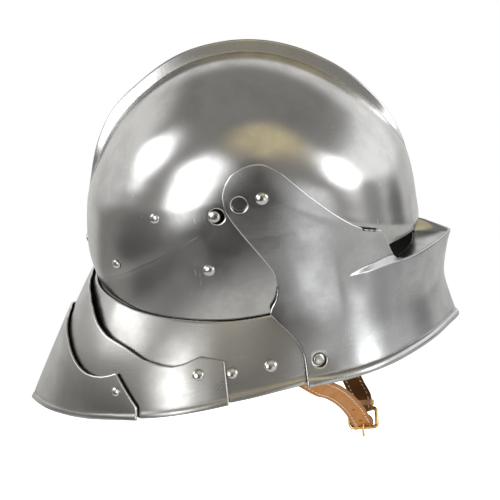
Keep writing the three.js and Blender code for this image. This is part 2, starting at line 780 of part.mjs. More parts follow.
fixings.push({ name: 'rivet_nape', solid: domedRivet(napeSpot.point, napeSpot.normal, 3.8, 2.2, SKULL_PLATE + 0.6) });
skullSolid = shankHole(skullSolid, napeSpot);

// Spring studs in wide holes of the skull, and catch studs behind the corners of the visor.
// Each has a wide foot on the inside that keeps it in its hole.
function footedStud(spot, radius, top, neck, footRadius) {
  const profile = [
    [0, -neck - STUD_FOOT_THICK],
    [footRadius, -neck - STUD_FOOT_THICK],
    [footRadius, -neck],
    [radius, -neck],
    [radius, top * 0.6],
    [radius * 0.75, top],
    [0, top + 0.4],
  ];
  const geometry = new THREE.LatheGeometry(profile.map(([x, y]) => new THREE.Vector2(x, y)), 12);
  geometry.applyQuaternion(new THREE.Quaternion().setFromUnitVectors(new THREE.Vector3(0, 1, 0), spot.normal));
  geometry.translate(spot.point.x, spot.point.y, spot.point.z);
  return manifoldOf(geometry);
}

const CATCH_TRAVEL = 3.4;
const CATCH_TOP = 3.0;
const CATCH_FOOT_CLEARANCE = 1.0;
const STUD_FOOT_RADIUS = 6.0;
const SPRING_FOOT_RADIUS = 8.0;
const STUD_FOOT_THICK = 1.2;
const SPRING_STUD_TOP = 1.2;
for (const [side, sideName] of SIDES) {
  const armSpot = surfacePoint(visorDepth, ARM_HOLE[0], ARM_HOLE[1], side);
  visorSolid = drillThrough(visorSolid, armSpot, ARM_HOLE[2]);
  const springSpot = surfacePoint(bowlDepth, SPRING_STUD_HOLE[0], SPRING_STUD_HOLE[1], side);
  skullSolid = drillThrough(skullSolid, springSpot, SPRING_STUD_HOLE[2]);
  const spring = footedStud(springSpot, SPRING_STUD_RADIUS, SPRING_STUD_TOP, SKULL_PLATE + 5 * HOLE_GAP, SPRING_FOOT_RADIUS);
  fixings.push({ name: 'spring_stud_' + sideName, solid: spring });
  const catchSpot = surfacePoint(tailDepth, CATCH_HOLE[0], CATCH_HOLE[1], side);
  visorSolid = drillThrough(visorSolid, catchSpot, CATCH_HOLE[2]);
  lame1Solid = drillThrough(lame1Solid, catchSpot, CATCH_STUD_RADIUS + 2 * HOLE_GAP);
  const neck = LAME_PLATE + CATCH_TRAVEL + CATCH_FOOT_CLEARANCE;
  const catchStud = footedStud(catchSpot, CATCH_STUD_RADIUS, CATCH_TOP, neck, STUD_FOOT_RADIUS);
  fixings.push({ name: 'catch_stud_' + sideName, solid: catchStud });
}

// A bar of flat section swept through stations: centre, direction of the width, half width, half thickness.
function sweptBar(stations) {
  const points = [];
  stations.forEach((station, i) => {
    const before = stations[Math.max(0, i - 1)].at;
    const after = stations[Math.min(stations.length - 1, i + 1)].at;
    const along = after.clone().sub(before).normalize();
    const across = station.width.clone().addScaledVector(along, -station.width.dot(along)).normalize();
    const through = along.clone().cross(across).normalize();
    for (const [w, t] of [[1, 1], [-1, 1], [-1, -1], [1, -1]]) {
      const corner = station.at.clone().addScaledVector(across, w * station.halfWidth);
      corner.addScaledVector(through, t * station.halfThick);
      points.push(corner.toArray());
    }
  });
  const faces = [[0, 2, 1], [0, 3, 2]];
  const last = points.length - 4;
  faces.push([last, last + 1, last + 2], [last, last + 2, last + 3]);
  for (let i = 0; i < stations.length - 1; i += 1) {
    for (let k = 0; k < 4; k += 1) {
      const a = i * 4 + k;
      const b = i * 4 + ((k + 1) % 4);
      faces.push([a, b, b + 4], [a, b + 4, a + 4]);
    }
  }
  return solidOf(points, faces);
}

function strapStations(rows, side, count, thick) {
  const centres = new THREE.CatmullRomCurve3(rows.map(([x, y, z]) => new THREE.Vector3(x, y * side, z)), false, 'centripetal');
  const stations = [];
  for (let i = 0; i < count; i += 1) {
    const t = i / (count - 1);
    const turn = Math.min(1, Math.max(0, (t - 0.12) * 3));
    stations.push({
      at: centres.getPoint(t),
      width: new THREE.Vector3(0.62 + 0.38 * turn, -0.26 * side * (1 - turn), 0.75 - 0.6 * turn),
      halfWidth: half(STRAP_WIDTH),
      halfThick: half(thick),
    });
  }
  return stations;
}

const insideLame = (x, z) => {
  const spot = surfacePoint(tailDepth, x, z, 1);
  const depth = LAME_PLATE + HOLE_GAP + 0.8 + half(STRAP_THICK);
  return spot.point.addScaledVector(spot.normal, -depth).toArray();
};
const anchored = STRAP_ANCHOR.map(([x, z]) => insideLame(x, z));
let billet = sweptBar(strapStations([...anchored, ...BILLET_PATH], -1, 26, STRAP_THICK));
let buckleStrap = sweptBar(strapStations([...anchored, ...BUCKLE_STRAP_PATH], 1, 20, STRAP_THICK));

// Buckle: a rounded frame of square wire; each strap's end goes round one of its bars.
const buckleCentre = new THREE.Vector3(...BUCKLE_CENTRE);
const buckleDown = new THREE.Vector3(-0.12, -0.4, -0.91).normalize();
const buckleAcross = new THREE.Vector3(0.97, -0.04, 0.2);
buckleAcross.addScaledVector(buckleDown, -buckleAcross.dot(buckleDown)).normalize();
const buckleOut = buckleAcross.clone().cross(buckleDown).normalize();
if (buckleOut.y > 0) {
  buckleOut.negate();
}
const onBuckle = (across, down, out) => buckleCentre.clone().addScaledVector(buckleAcross, across)
  .addScaledVector(buckleDown, down).addScaledVector(buckleOut, out);

function buckleFrame() {
  const outline = [];
  const rounding = 3;
  for (let corner = 0; corner < 4; corner += 1) {
    const acrossSign = corner === 0 || corner === 3 ? 1 : -1;
    const downSign = corner < 2 ? 1 : -1;
    for (const turn of [0, 45, 90]) {
      const angle = radians(corner * 90 + turn);
      outline.push([
        acrossSign * (BUCKLE_HALF_WIDTH - rounding) + rounding * Math.cos(angle),
        downSign * (BUCKLE_HALF_LENGTH - rounding) + rounding * Math.sin(angle),
      ]);
    }
  }
  const points = [];
  const faces = [];
  const count = outline.length;
  outline.forEach(([across, down], i) => {
    const before = outline[(i + count - 1) % count];
    const after = outline[(i + 1) % count];
    const outward = new THREE.Vector2(after[1] - before[1], before[0] - after[0]).normalize();
    for (let k = 0; k < 6; k += 1) {
      const angle = radians(k * 60);
      const aside = BUCKLE_WIRE * Math.cos(angle);
      points.push(onBuckle(across + outward.x * aside, down + outward.y * aside, BUCKLE_WIRE * Math.sin(angle)).toArray());
    }
  });
  for (let i = 0; i < count; i += 1) {
    for (let k = 0; k < 6; k += 1) {
      const a = i * 6 + k;
      const b = i * 6 + ((k + 1) % 6);
      const c = ((i + 1) % count) * 6 + ((k + 1) % 6);
      const d = ((i + 1) % count) * 6 + k;
      faces.push([a, b, c], [a, c, d]);
    }
  }
  const frame = solidOf(points, faces);
  return frame.volume() > 0 ? frame : solidOf(points, faces.map(([a, b, c]) => [a, c, b]));
}

// A round bar from one point to another.
function barBetween(from, to, radius, segments) {
  const along = to.clone().sub(from);
  const middle = from.clone().add(to).multiplyScalar(0.5);
  return roundBar(middle, along.clone().normalize(), radius, along.length(), segments);
}

const frameSolid = buckleFrame();
const tongueStart = onBuckle(0, -3.2, 0);
const tongueBend = onBuckle(0, BUCKLE_HALF_LENGTH - 1.4, BUCKLE_WIRE + TONGUE_RADIUS + HOLE_GAP);
const tongueEnd = onBuckle(0, BUCKLE_HALF_LENGTH + TONGUE_OVERHANG, BUCKLE_WIRE + TONGUE_RADIUS + HOLE_GAP);
const tongueSolid = barBetween(tongueStart, tongueBend, TONGUE_RADIUS, 8).add(barBetween(tongueBend, tongueEnd, TONGUE_RADIUS, 8));
const tongueRoom = barBetween(tongueStart, tongueBend, TONGUE_RADIUS + HOLE_GAP, 8)
  .add(barBetween(tongueBend, tongueEnd, TONGUE_RADIUS + HOLE_GAP, 8));
const lowerBarRoom = barBetween(
  onBuckle(-BAR_ROOM_HALF_LENGTH, BUCKLE_HALF_LENGTH, 0),
  onBuckle(BAR_ROOM_HALF_LENGTH, BUCKLE_HALF_LENGTH, 0),
  BUCKLE_WIRE + HOLE_GAP,
  8,
);
billet = billet.subtract(tongueRoom).subtract(lowerBarRoom);
const upperBar = -BUCKLE_HALF_LENGTH;
const FOLD_STATIONS = [-7.5, -3.5, 0, 2.6];
const fold = sweptBar(FOLD_STATIONS.map((down) => ({
  at: onBuckle(0, upperBar + down, 0),
  width: buckleAcross,
  halfWidth: half(STRAP_WIDTH),
  halfThick: FOLD_HALF_THICK,
})));
const barRoom = barBetween(
  onBuckle(-BAR_ROOM_HALF_LENGTH, upperBar, 0),
  onBuckle(BAR_ROOM_HALF_LENGTH, upperBar, 0),
  BUCKLE_WIRE + HOLE_GAP,
  8,
);
buckleStrap = buckleStrap.add(fold).subtract(barRoom);
const keeperAt = (out, wide) => sweptBar([-KEEPER_HALF, KEEPER_HALF].map((down) => ({
  at: onBuckle(0, upperBar - KEEPER_RISE + down * wide, 0),
  width: buckleAcross,
  halfWidth: half(STRAP_WIDTH) + out,
  halfThick: FOLD_HALF_THICK + out,
})));
const KEEPER_THICK = 1.3;
const keeperSolid = keeperAt(KEEPER_THICK + 2 * HOLE_GAP, 1).subtract(keeperAt(2 * HOLE_GAP, 1.5));

// The strap rivets' shanks pass through the straps' ends.
const strapRivet = RIVETS.find(([name]) => name === 'rivet_strap');
billet = shankHole(billet, surfacePoint(tailDepth, strapRivet[2], strapRivet[3], -1));
buckleStrap = shankHole(buckleStrap, surfacePoint(tailDepth, strapRivet[2], strapRivet[3], 1));
for (const share of BILLET_HOLES) {
  const rows = strapStations([...anchored, ...BILLET_PATH], -1, 101, STRAP_THICK);
  const at = rows[Math.round(share * 100)];
  const along = rows[Math.round(share * 100) + 1].at.clone().sub(at.at).normalize();
  const through = along.cross(at.width).normalize();
  billet = billet.subtract(roundBar(at.at, through, SHANK_RADIUS, 8, 6));
}

const plates = { skull: skullSolid, lame_1: lame1Solid, lame_2: lame2Solid, lame_3: lame3Solid, visor: visorSolid };
for (const [name, solid] of Object.entries(plates)) {
  addPiece(name, solid, 'steel');
}
for (const fixing of fixings) {
  addPiece(fixing.name, fixing.solid, 'steel');
}
addPiece('strap_right', billet, 'leather');
addPiece('strap_left', buckleStrap, 'leather');
addPiece('strap_keeper', keeperSolid, 'leather');
addPiece('buckle_frame', frameSolid, 'brass');
addPiece('buckle_tongue', tongueSolid, 'brass');

export default sallet;
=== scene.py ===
import math

import bpy
import numpy as np
from mathutils import Matrix, Vector


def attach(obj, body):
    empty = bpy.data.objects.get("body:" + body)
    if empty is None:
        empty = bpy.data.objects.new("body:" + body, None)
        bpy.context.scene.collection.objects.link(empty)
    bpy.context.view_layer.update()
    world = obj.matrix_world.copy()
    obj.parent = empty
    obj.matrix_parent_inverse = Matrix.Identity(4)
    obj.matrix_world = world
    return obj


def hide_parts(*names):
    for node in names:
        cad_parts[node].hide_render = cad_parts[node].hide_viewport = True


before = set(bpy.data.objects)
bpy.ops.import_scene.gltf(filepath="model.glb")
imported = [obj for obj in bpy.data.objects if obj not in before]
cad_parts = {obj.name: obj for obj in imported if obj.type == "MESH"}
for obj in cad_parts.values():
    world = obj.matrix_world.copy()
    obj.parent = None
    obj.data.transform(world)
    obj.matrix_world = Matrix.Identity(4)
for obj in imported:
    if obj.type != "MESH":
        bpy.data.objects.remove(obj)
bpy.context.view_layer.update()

# The helmet is seen from its right side, a little above the rim and tipped up at the front.
# Shapes are worked out in millimetres about the centre of the bowl, 116 mm below the inside of the crown.
BOWL_CENTRE_Z = -0.116
TIP_UP = math.radians(10.5)
CAMERA_ELEVATION = math.radians(16.0)
CAMERA_DISTANCE = 1.4
PIXELS_PER_METRE = 1319.0
CENTRE_ON_PICTURE = (253.0, 205.0)
PICTURE_SIZE = 500.0
SENSOR = 36.0

camera_right = Vector((math.cos(TIP_UP), 0, -math.sin(TIP_UP)))
camera_up = Vector((
    math.cos(CAMERA_ELEVATION) * math.sin(TIP_UP),
    math.sin(CAMERA_ELEVATION),
    math.cos(CAMERA_ELEVATION) * math.cos(TIP_UP),
))
camera_back = camera_right.cross(camera_up)
camera_data = bpy.data.cameras.new("camera")
camera_data.sensor_width = SENSOR
camera_data.lens = PIXELS_PER_METRE * CAMERA_DISTANCE / PICTURE_SIZE * SENSOR
camera_data.shift_x = (PICTURE_SIZE / 2 - CENTRE_ON_PICTURE[0]) / PICTURE_SIZE
camera_data.shift_y = (CENTRE_ON_PICTURE[1] - PICTURE_SIZE / 2) / PICTURE_SIZE
camera_data.clip_start = 0.05
camera_data.clip_end = 200.0
camera = bpy.data.objects.new("camera", camera_data)
bpy.context.scene.collection.objects.link(camera)
camera_turn = Matrix((camera_right, camera_up, camera_back)).transposed().to_4x4()
camera.matrix_world = Matrix.Translation(Vector((0, 0, BOWL_CENTRE_Z)) + camera_back * CAMERA_DISTANCE) @ camera_turn
bpy.context.scene.camera = camera

# A white studio: a pale floor well below the helmet and a soft surround with large white panels,
# a dim side behind the camera and a warm wall, which are what polished plate shows.
FLOOR_Z = -0.75
FLOOR_RADIUS = 1.45
FLOOR_GLOW = 0.42
SURROUND = (0.31, 0.30, 0.285)
# azimuth and elevation of the middle, half width and half height as slopes, softness, brightness, colour
PANELS = [
    (90, -10, 1.5, 0.35, 0.4, 0.75, (1.0, 0.99, 0.97)),
    (5, -14, 1.1, 0.35, 0.4, 0.75, (1.0, 0.99, 0.97)),
    (-138, -15, 0.95, 0.25, 0.35, 1.0, (0.12, 0.115, 0.11)),
    (-68, -19, 0.24, 0.26, 0.45, 1.4, (1.0, 1.0, 1.0)),
    (-102, -20, 0.34, 0.22, 0.40, 1.0, (0.02, 0.014, 0.012)),
    (-14, -18, 0.20, 0.30, 0.5, 0.36, (1.0, 1.0, 1.0)),
    (19, -24, 0.24, 0.26, 0.45, 0.20, (1.0, 1.0, 1.0)),
    (-93, -3, 0.15, 0.30, 0.45, 1.0, (0.045, 0.032, 0.028)),
    (-72, 37, 0.46, 0.33, 0.5, 0.84, (1.0, 0.86, 0.54)),
    (90, 15, 1.1, 0.35, 0.5, 0.95, (1.0, 0.99, 0.96)),
    (150, 26, 0.55, 0.40, 0.5, 1.0, (1.0, 0.99, 0.97)),
    (10, 12, 1.20, 0.30, 0.35, 1.35, (1.0, 1.0, 1.0)),
    (-34, 7, 0.25, 0.28, 0.35, 3.6, (1.0, 1.0, 1.0)),
    (-168, 32, 0.27, 0.26, 0.30, 3.8, (1.0, 1.0, 1.0)),
    (-122, 8, 0.24, 0.30, 0.30, 4.0, (1.0, 1.0, 1.0)),
]

world = bpy.data.worlds.new("studio")
bpy.context.scene.world = world
world.use_nodes = True
world_tree = world.node_tree
world_tree.nodes.clear()


def put(tree, kind, name="", **settings):
    """A shader node with its settings; values for its input sockets are given by their index."""
    node = tree.nodes.new(kind)
    node.name = name or node.name
    for key, value in settings.items():
        if key == "sockets":
            for index, number in value.items():
                node.inputs[index].default_value = number
        else:
            setattr(node, key, value)
    return node


def join(tree, *ends):
    """Links given as pairs of an output socket and an input socket."""
    for out, into in zip(ends[::2], ends[1::2]):
        tree.links.new(out, into)


# One panel: 1 inside an ellipse on a plane square to its direction, fading to 0 over its softness.
panel = bpy.data.node_groups.new("studio_panel", "ShaderNodeTree")
for socket_name, socket_type in (
    ("Ray", "NodeSocketVector"), ("Towards", "NodeSocketVector"), ("Across", "NodeSocketVector"),
    ("Up", "NodeSocketVector"), ("Half width", "NodeSocketFloat"), ("Half height", "NodeSocketFloat"),
    ("Softness", "NodeSocketFloat"),
):
    panel.interface.new_socket(socket_name, in_out="INPUT", socket_type=socket_type)
panel.interface.new_socket("Mask", in_out="OUTPUT", socket_type="NodeSocketFloat")
entry = put(panel, "NodeGroupInput")
leave = put(panel, "NodeGroupOutput")
towards, across, upwards = (put(panel, "ShaderNodeVectorMath", operation="DOT_PRODUCT") for _ in range(3))
for node, socket_name in ((towards, "Towards"), (across, "Across"), (upwards, "Up")):
    join(panel, entry.outputs["Ray"], node.inputs[0], entry.outputs[socket_name], node.inputs[1])
ahead = put(panel, "ShaderNodeMath", operation="MAXIMUM", sockets={1: 0.001})
join(panel, towards.outputs["Value"], ahead.inputs[0])
squares = []
for node, socket_name in ((across, "Half width"), (upwards, "Half height")):
    slope = put(panel, "ShaderNodeMath", operation="DIVIDE")
    share = put(panel, "ShaderNodeMath", operation="DIVIDE")
    square = put(panel, "ShaderNodeMath", operation="POWER", sockets={1: 2.0})
    join(panel, node.outputs["Value"], slope.inputs[0], ahead.outputs[0], slope.inputs[1],
         slope.outputs[0], share.inputs[0], entry.outputs[socket_name], share.inputs[1])
    size = put(panel, "ShaderNodeMath", operation="ABSOLUTE")
    join(panel, share.outputs[0], size.inputs[0], size.outputs[0], square.inputs[0])
    squares.append(square)
total = put(panel, "ShaderNodeMath", operation="ADD")
radius = put(panel, "ShaderNodeMath", operation="SQRT")
inner = put(panel, "ShaderNodeMath", operation="SUBTRACT", sockets={0: 1.0})
outer = put(panel, "ShaderNodeMath", operation="ADD", sockets={0: 1.0})
fade = put(panel, "ShaderNodeMapRange", interpolation_type="SMOOTHSTEP", sockets={3: 1.0, 4: 0.0})
join(panel, squares[0].outputs[0], total.inputs[0], squares[1].outputs[0], total.inputs[1],
     total.outputs[0], radius.inputs[0], radius.outputs[0], fade.inputs[0],
     entry.outputs["Softness"], inner.inputs[1], entry.outputs["Softness"], outer.inputs[1],
     inner.outputs[0], fade.inputs[1], outer.outputs[0], fade.inputs[2], fade.outputs[0], leave.inputs[0])


def panel_mask(azimuth, elevation, half_width, half_height, softness):
    """The mask of one panel, seen from the helmet in a direction given in degrees."""
    a, e = math.radians(azimuth), math.radians(elevation)
    node = put(world_tree, "ShaderNodeGroup", node_tree=panel, sockets={
        1: (math.cos(a) * math.cos(e), math.sin(a) * math.cos(e), math.sin(e)),
        2: (-math.sin(a), math.cos(a), 0),
        3: (-math.cos(a) * math.sin(e), -math.sin(a) * math.sin(e), math.cos(e)),
        4: half_width, 5: half_height, 6: softness})
    join(world_tree, ray.outputs["Generated"], node.inputs[0])
    return node.outputs[0]


ray = put(world_tree, "ShaderNodeTexCoord")
surround = put(world_tree, "ShaderNodeRGB")
surround.outputs[0].default_value = (*SURROUND, 1)
light_so_far = surround.outputs[0]
for azimuth, elevation, half_width, half_height, softness, brightness, colour in PANELS:
    lit = put(world_tree, "ShaderNodeMix", data_type="RGBA", sockets={7: (*[brightness * c for c in colour], 1)})
    join(world_tree, panel_mask(azimuth, elevation, half_width, half_height, softness), lit.inputs[0],
         light_so_far, lit.inputs[6])
    light_so_far = lit.outputs[2]
seen = put(world_tree, "ShaderNodeLightPath")
plain = put(world_tree, "ShaderNodeMix", data_type="RGBA", sockets={7: (1, 1, 1, 1)})
background = put(world_tree, "ShaderNodeBackground", sockets={1: 1.0})
world_end = put(world_tree, "ShaderNodeOutputWorld")
join(world_tree, seen.outputs["Is Camera Ray"], plain.inputs[0], light_so_far, plain.inputs[6],
     plain.outputs[2], background.inputs[0], background.outputs[0], world_end.inputs[0])

floor_mesh = bpy.data.meshes.new("floor")
floor_turns = np.linspace(0, 2 * np.pi, 96, endpoint=False)
floor_mesh.from_pydata(np.column_stack([FLOOR_RADIUS * np.cos(floor_turns), FLOOR_RADIUS * np.sin(floor_turns),
                                        np.full(96, FLOOR_Z)]).tolist(), [], [tuple(range(96))])
floor = bpy.data.objects.new("floor", floor_mesh)
bpy.context.scene.collection.objects.link(floor)
floor_finish = bpy.data.materials.new("pale_floor")
floor_finish.use_nodes = True
floor_shader = floor_finish.node_tree.nodes["Principled BSDF"]
floor_shader.inputs["Base Color"].default_value = (0.45, 0.45, 0.44, 1)
floor_shader.inputs["Roughness"].default_value = 1.0
floor_shader.inputs["Specular IOR Level"].default_value = 0.0
floor_shader.inputs["Emission Strength"].default_value = 1.0
floor_seen = put(floor_finish.node_tree, "ShaderNodeLightPath")
floor_glow = put(floor_finish.node_tree, "ShaderNodeMix", data_type="RGBA",
                 sockets={6: (*[FLOOR_GLOW] * 3, 1), 7: (*[1 + FLOOR_GLOW] * 3, 1)})
join(floor_finish.node_tree, floor_seen.outputs["Is Camera Ray"], floor_glow.inputs[0],
     floor_glow.outputs[2], floor_shader.inputs["Emission Color"])
floor_mesh.materials.append(floor_finish)
bpy.context.scene.view_settings.view_transform = "Standard"

# Skull: the bowl and its comb are raised from one steel plate 2 mm thick, ground and rubbed to a satin polish.
# It ends at the neck in a short flange that lies inside the first lame.
SKULL_PLATE = 2.0
BOWL_HALF_WIDTH = 102.0
BOWL_ROUNDNESS = 2.35
PIVOT = (12.5, 33.0)
# angle above the front about the pivot, reach of the outline, height of the comb
BOWL_OUTLINE = np.array([
    (10, 97.9, 4.9), (23, 89.7, 7.5), (36, 84.4, 9.2), (53, 81.7, 9.3), (73, 82.4, 9.2), (98, 86.9, 9.0),
    (118, 93.4, 9.0), (136, 101.0, 8.2), (152, 111.0, 8.0), (166, 120.0, 5.2), (174, 126.9, 1.8),
    (179.5, 132.3, 0), (186, 137.2, 0), (197, 146.6, 0), (205, 152.2, 0), (211, 160.0, 0), (220, 175.5, 0),
    (231, 202.0, 0), (242, 225.0, 0), (256, 232.0, 0), (268, 222.0, 0), (281, 197.5, 0), (291, 173.5, 0),
    (301, 154.0, 0), (313, 134.0, 0), (323, 125.0, 0), (330, 125.6, 0), (338, 118.8, 0), (346, 113.8, 0),
    (354, 109.5, 0), (358.5, 106.6, 1.2),
])
CLOSED_OUTLINE = np.vstack([BOWL_OUTLINE[-1] - (360, 0, 0), BOWL_OUTLINE, BOWL_OUTLINE[0] + (360, 0, 0)])
# x and z of the lower edge, from the nape round the neck to the brow
SKULL_EDGE = np.array([
    (-127.3, -26.0), (-122, -27.6), (-115, -30.8), (-106, -34.8), (-95, -39.6), (-82, -43.6), (-70, -46.2),
    (-54, -49.3), (-34, -52.4), (-10, -53.6), (10, -53.2), (30, -52.2), (45, -49.5), (60, -43.5), (78, -34.5),
    (94.7, -28.6), (105.8, -28.6), (113, -29.0), (118.5, -30.0), (122.4, -31.0),
])
# half widths at which rows of the skull run beside the comb
COMB_ROWS = (0, 0.35, 0.65, 0.85, 1.0, 1.2, 1.6, 2.1, 2.6, 2.9, 3.05, 3.3, 3.8, 4.8, 6.5, 9, 12.5)
COMB_BASE, COMB_TOP = 3.0, 0.9
SPRING_STUD_HOLE = (-21.6, 24.4, 6.2)


def smooth_column(rows, column, at):
    """A cubic through each span of a table, with each row's slope that of the chord between its neighbours."""
    at = np.asarray(at, float)
    last = len(rows) - 1
    i = np.clip(np.searchsorted(rows[:, 0], at, side="right") - 1, 0, last - 1)

    def slope(k):
        a, b = rows[np.maximum(k - 1, 0)], rows[np.minimum(k + 1, last)]
        return (b[..., column] - a[..., column]) / (b[..., 0] - a[..., 0])

    a, b = rows[i], rows[i + 1]
    span = b[..., 0] - a[..., 0]
    t = np.clip((at - a[..., 0]) / span, 0, 1)
    return ((2 * t**3 - 3 * t**2 + 1) * a[..., column] + (t**3 - 2 * t**2 + t) * span * slope(i)
            + (3 * t**2 - 2 * t**3) * b[..., column] + (t**3 - t**2) * span * slope(i + 1))


def bowl_reach(angle):
    """Distance of the bowl's outline from the pivot at an angle in degrees."""
    return smooth_column(CLOSED_OUTLINE, 1, np.mod(angle, 360))


def bowl_half_width(share):
    """Rounded ellipse: the half width at a share of the reach, negative outside the outline."""
    rest = 1 - np.abs(share) ** BOWL_ROUNDNESS
    return np.sign(rest) * BOWL_HALF_WIDTH * np.abs(rest) ** (1 / BOWL_ROUNDNESS)


def bowl_depth(x, y, z):
    """How far a point lies inside the bowl, measured across the helmet."""
    angle = np.degrees(np.arctan2(z - PIVOT[1], x - PIVOT[0]))
    share = np.hypot(x - PIVOT[0], z - PIVOT[1]) / bowl_reach(angle)
    return bowl_half_width(share) - np.abs(y)


def crossing(depth, near, far):
    """The values between near and far at which a falling function crosses zero, by halving 34 times."""
    near, far = np.array(near, float), np.array(far, float)
    for _ in range(34):
        middle = (near + far) / 2
        inside = depth(middle) > 0
        near, far = np.where(inside, middle, near), np.where(inside, far, middle)
    return near


def round_hole(p, q, centre, radius, spread=2.2):
    """Moves the grid points p, q so that a ring of them lies on a circle, and says which cells are in the hole.

    The ring starts as the square of grid lines about one radius from the nearest point. Its four sides are
    spread evenly round the circle. Rings further out go less and less of the way, up to the spread.
    """
    i, j = np.unravel_index(np.argmin((p - centre[0]) ** 2 + (q - centre[1]) ** 2), p.shape)
    across = np.hypot(p[:, j] - p[i, j], q[:, j] - q[i, j]) / radius
    along_row = np.hypot(p[i] - p[i, j], q[i] - q[i, j]) / radius
    steps = []
    for distances, middle in ((across, i), (along_row, j)):
        before, after = distances[:middle][::-1], distances[middle + 1:]
        steps.append((1 + int(np.argmin(np.abs(before[:60] - 1))), 1 + int(np.argmin(np.abs(after[:60] - 1)))))
    di, dj = np.indices(p.shape) - np.array([i, j])[:, None, None]
    s = np.where(di < 0, di / steps[0][0], di / steps[0][1])
    t = np.where(dj < 0, dj / steps[1][0], dj / steps[1][1])
    ring = np.maximum(np.abs(s), np.abs(t))
    steep = np.abs(t) > np.abs(s)
    safe_s, safe_t = np.where(s == 0, 1e-9, s), np.where(t == 0, 1e-9, t)
    turn = np.where(steep, np.pi / 2 - np.pi / 4 * s / safe_t, np.pi / 4 * t / safe_s)
    turn = turn + np.where(steep, np.where(t < 0, np.pi, 0), np.where(s < 0, np.pi, 0))
    one_column = (p[i + 1, j] - p[i - 1, j], q[i + 1, j] - q[i - 1, j])
    one_row = (p[i, j + 1] - p[i, j - 1], q[i, j + 1] - q[i, j - 1])
    base = math.atan2(one_column[1], one_column[0])
    hand = np.sign(one_column[0] * one_row[1] - one_column[1] * one_row[0])
    circle_p = centre[0] + radius * ring * np.cos(base + hand * turn)
    circle_q = centre[1] + radius * ring * np.sin(base + hand * turn)
    stay = np.clip((ring - 1) / (spread - 1), 0, 1)
    stay = stay * stay * (3 - 2 * stay)
    hole = (ring[:-1, :-1] <= 1) & (ring[1:, 1:] <= 1) & (ring[1:, :-1] <= 1) & (ring[:-1, 1:] <= 1)
    return circle_p * (1 - stay) + p * stay, circle_q * (1 - stay) + q * stay, hole


def hand_worked(points, depth, length, seed):
    """Points moved a little by the hammer and the grinding wheel: a sum of nine waves of different lengths."""
    waves = np.random.default_rng(seed)
    moved = np.zeros(len(points))
    for k in range(9):
        direction = waves.normal(size=3)
        direction /= np.linalg.norm(direction) * length * (0.45 + 0.16 * k)
        moved += np.sin(2 * np.pi * points @ direction + waves.uniform(0, 2 * np.pi)) * (0.45 + 0.16 * k)
    return moved * depth / 3


def grid_cells(columns, rows, first=0, wrap=False):
    """Four-cornered faces of a grid of points stored column by column."""
    i, j = np.meshgrid(np.arange(columns if wrap else columns - 1), np.arange(rows - 1), indexing="ij")
    a, b = i * rows + j, (i + 1) % columns * rows + j
    return (np.stack([a, b, b + 1, a + 1], -1) + first).reshape(-1, 4)


def merged(points, cells, extra, apart=0.02):
    """Joins points that lie within a fiftieth of a millimetre, and drops what has collapsed."""
    keys = np.round(points / apart).astype(np.int64)
    _, first, places = np.unique(keys, axis=0, return_index=True, return_inverse=True)
    cells = places.ravel()[cells]
    sides = (cells != np.roll(cells, 1, axis=1)).sum(axis=1)
    return points[first], cells[sides >= 3], {key: value[first] for key, value in extra.items()}


def facing(points, cells):
    """Outward directions at points: the sum of the crossed diagonals of the faces round each."""
    across = np.cross(points[cells[:, 2]] - points[cells[:, 0]], points[cells[:, 3]] - points[cells[:, 1]])
    normals = np.zeros_like(points)
    for corner in range(4):
        np.add.at(normals, cells[:, corner], across)
    return normals / np.maximum(np.linalg.norm(normals, axis=1, keepdims=True), 1e-12)


def show(name, points, cells, marks=None):
    """An object from points in millimetres about the bowl's centre, smooth all over, with its marks as attributes."""
    mesh = bpy.data.meshes.new(name)
    faces = [tuple(dict.fromkeys(cell)) for cell in cells.tolist()]
    mesh.from_pydata((points / 1000 + (0, 0, BOWL_CENTRE_Z)).tolist(), [], [f for f in faces if len(f) > 2])
    for key, value in (marks or {}).items():
        mesh.attributes.new(key, "FLOAT", "POINT").data.foreach_set("value", np.asarray(value, np.float32))
    mesh.polygons.foreach_set("use_smooth", np.ones(len(mesh.polygons), bool))
    mesh.update()
    made = bpy.data.objects.new(name, mesh)
    bpy.context.scene.collection.objects.link(made)
    return made


